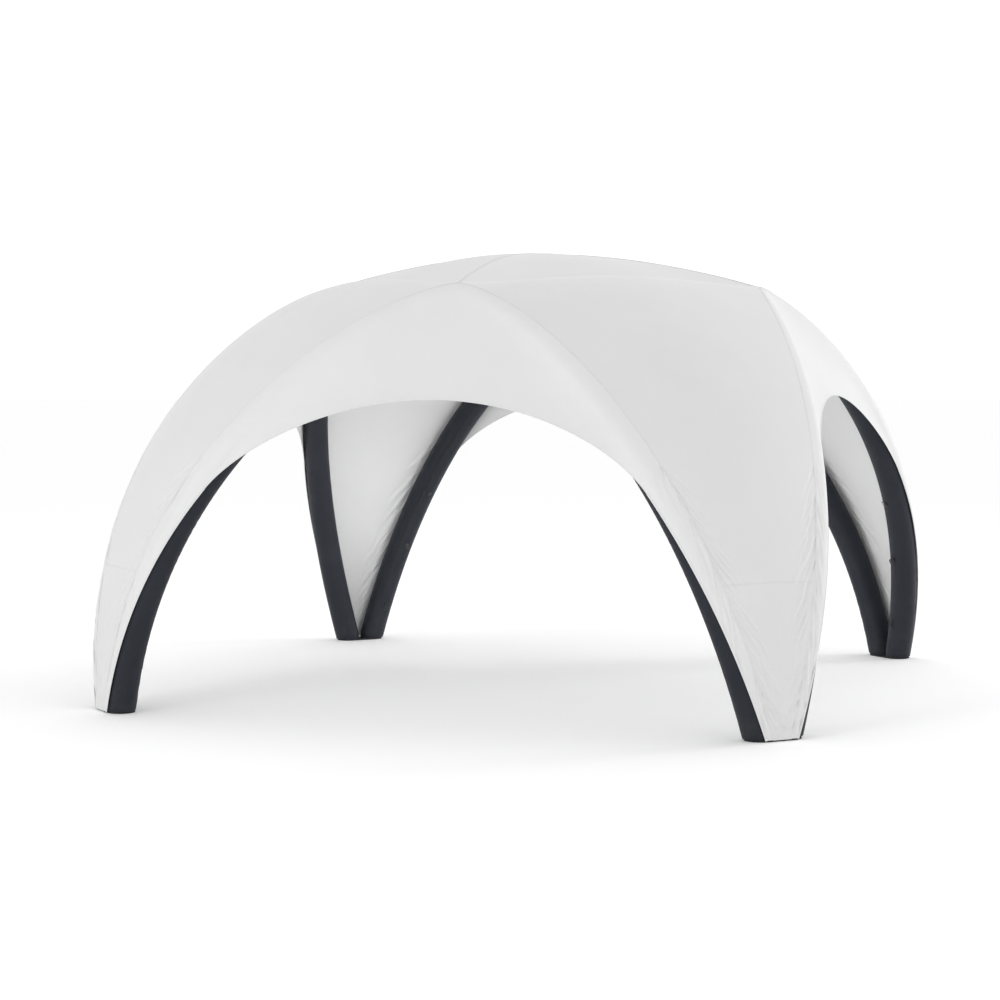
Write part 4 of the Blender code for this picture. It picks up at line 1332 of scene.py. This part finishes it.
def build_fittings(paints):
    valve, relief = seat_matrix(VALVE_SEGMENT, INNER_FACE), seat_matrix(RELIEF_SEGMENT, INNER_FACE)
    anchor, runner = seat_matrix(RING_SEGMENT, INNER_FACE), seat_matrix(ZIP_SEGMENT, ZIP_FACE)
    hinge = valve @ shift(0.0, HINGE_Y, CAP_LOW + CAP_THICKNESS / 2)
    bar = anchor @ shift(0.0, 0.0, RING_AXIS_HEIGHT)
    pin = runner @ shift(0.0, 0.0, PULL_AXIS_HEIGHT)
    kinds = (
        ("Inflation_Valve_", "Valve_Body_", valve_body_mesh(), "valve", "tent", "valve_plastic", valve),
        ("Inflation_Cap_", "Valve_Cap_", valve_cap_mesh(), "valve", "valve_cap_", "valve_plastic", hinge),
        ("Inflation_Plunger_", "Valve_Plunger_", plunger_mesh(), "plunger", "valve_plunger_", "plunger_plastic", valve),
        ("Relief_Dome_", "Relief_Valve_", relief_mesh(), "valve", "tent", "valve_plastic", relief),
        ("Webbing_Tab_", "Anchor_Tab_", tab_mesh(), "webbing", "tent", "webbing", anchor),
        ("Steel_Ring_", "Anchor_Ring_", ring_mesh(), "steel", "anchor_ring_", "ring_steel", bar),
        ("Slider_", "Zip_Slider_", slider_mesh(), "zip", "tent", "zip_metal", runner),
        ("Slider_Pull_", "Zip_Pull_", pull_mesh(), "zip", "zip_pull_", "zip_metal", pin),
    )
    for turn, side in enumerate(SIDES):
        for prefix, node, mesh, paint, body, slot, local in kinds:
            rides = body if body == "tent" else body + side.lower()
            add(prefix + side, mesh.copy(), paints[paint], rides, turn, local, stands_for=[node + side])


# Studio

CAMERA_YAW = 0.3164
CAMERA_PITCH = 0.0549
CAMERA_ROLL = -0.004
CAMERA_PLACE = (5.9471, -19.0307, 2.5762)
CAMERA_LENS = 88.51
BRIGHT_SIDE = (0.1, 1.0, 0.0)
DIM_LEVEL = 0.72
BRIGHT_LEVEL = 1.2


def make_camera():
    cy, sy = math.cos(CAMERA_YAW), math.sin(CAMERA_YAW)
    cp, sp = math.cos(CAMERA_PITCH), math.sin(CAMERA_PITCH)
    ahead = Vector((-sy * cp, cy * cp, -sp))
    right = Vector((cy, sy, 0.0))
    up = right.cross(ahead)
    turn = Matrix.Rotation(-CAMERA_ROLL, 3, ahead)
    matrix = Matrix((turn @ right, turn @ up, -ahead)).transposed().to_4x4()
    matrix.translation = CAMERA_PLACE
    data = bpy.data.cameras.new("camera")
    data.lens = CAMERA_LENS
    data.sensor_width = 36.0
    data.clip_end = 400.0
    camera = new_object("camera", data)
    camera.matrix_world = matrix
    bpy.context.scene.camera = camera


def make_floor():
    mesh = bpy.data.meshes.new("floor")
    reach = 160.0
    mesh.from_pydata([(-reach, -reach, 0.0), (reach, -reach, 0.0), (reach, reach, 0.0), (-reach, reach, 0.0)], [],
                     [(0, 1, 2, 3)])
    floor = new_object("floor", mesh)
    paint = Paint("floor")
    paint.set(Base_Color=rgb(0.97, 0.97, 0.97), Roughness=0.9, Specular_IOR_Level=0.1,
              Emission_Color=rgb(1.0, 1.0, 1.0), Emission_Strength=0.12)
    mesh.materials.append(paint.material)


def area_light(name, place, target, size, power, spread=180.0):
    data = bpy.data.lights.new(name, "AREA")
    data.spread = math.radians(spread)
    data.shape = "DISK"
    data.size = size
    data.energy = power
    light = new_object(name, data)
    light.location = place
    light.rotation_euler = (Vector(target) - Vector(place)).to_track_quat("-Z", "Y").to_euler()
    light.visible_camera = False


BRIGHT_RANGE = (-0.2, 0.7)
# Name, place, target, size in metres, power in watts, spread in degrees
LIGHTS = (
    ("front_key", (-6.2, -16.7, 6.5), (0.0, 0.0, 1.5), 4.0, 400.0, 180.0),
    ("back_right_light", (14.0, 10.5, 6.5), (0.0, 0.0, 1.5), 4.0, 480.0, 180.0),
    ("roof_fill", (0.0, 0.0, 0.35), (0.0, 0.0, 3.0), 3.0, 5.0, 180.0),
    ("back_left_fill", (0.0, 0.0, 0.7), (-2.6, 2.6, 1.2), 1.0, 4.6, 65.0),
    ("back_right_fill", (0.0, 0.0, 0.7), (2.6, 2.6, 1.2), 1.0, 3.4, 65.0),
)


def make_lights():
    """White surroundings, brighter behind the tent than in front, and the lights in LIGHTS."""
    world = bpy.data.worlds.new("studio")
    world.use_nodes = True
    bpy.context.scene.world = world
    tree = world.node_tree
    where = tree.nodes.new("ShaderNodeTexCoord")
    aim = tree.nodes.new("ShaderNodeVectorMath")
    aim.operation = "DOT_PRODUCT"
    aim.inputs[1].default_value = Vector(BRIGHT_SIDE).normalized()
    spread = tree.nodes.new("ShaderNodeMapRange")
    spread.interpolation_type = "SMOOTHSTEP"
    for socket, value in zip(range(1, 5), BRIGHT_RANGE + (DIM_LEVEL, BRIGHT_LEVEL)):
        spread.inputs[socket].default_value = value
    tree.links.new(where.outputs["Generated"], aim.inputs[0])
    tree.links.new(aim.outputs["Value"], spread.inputs[0])
    tree.links.new(spread.outputs[0], tree.nodes["Background"].inputs["Strength"])
    tree.nodes["Background"].inputs["Color"].default_value = rgb(1.0, 1.0, 1.0)
    for name, place, target, size, power, spread_angle in LIGHTS:
        area_light(name, place, target, size, power, spread_angle)


bpy.context.scene.view_settings.view_transform = "Standard"
paints = make_paints()
build_tubes(paints)
build_canopy(paints)
build_fittings(paints)
make_camera()
make_floor()
make_lights()
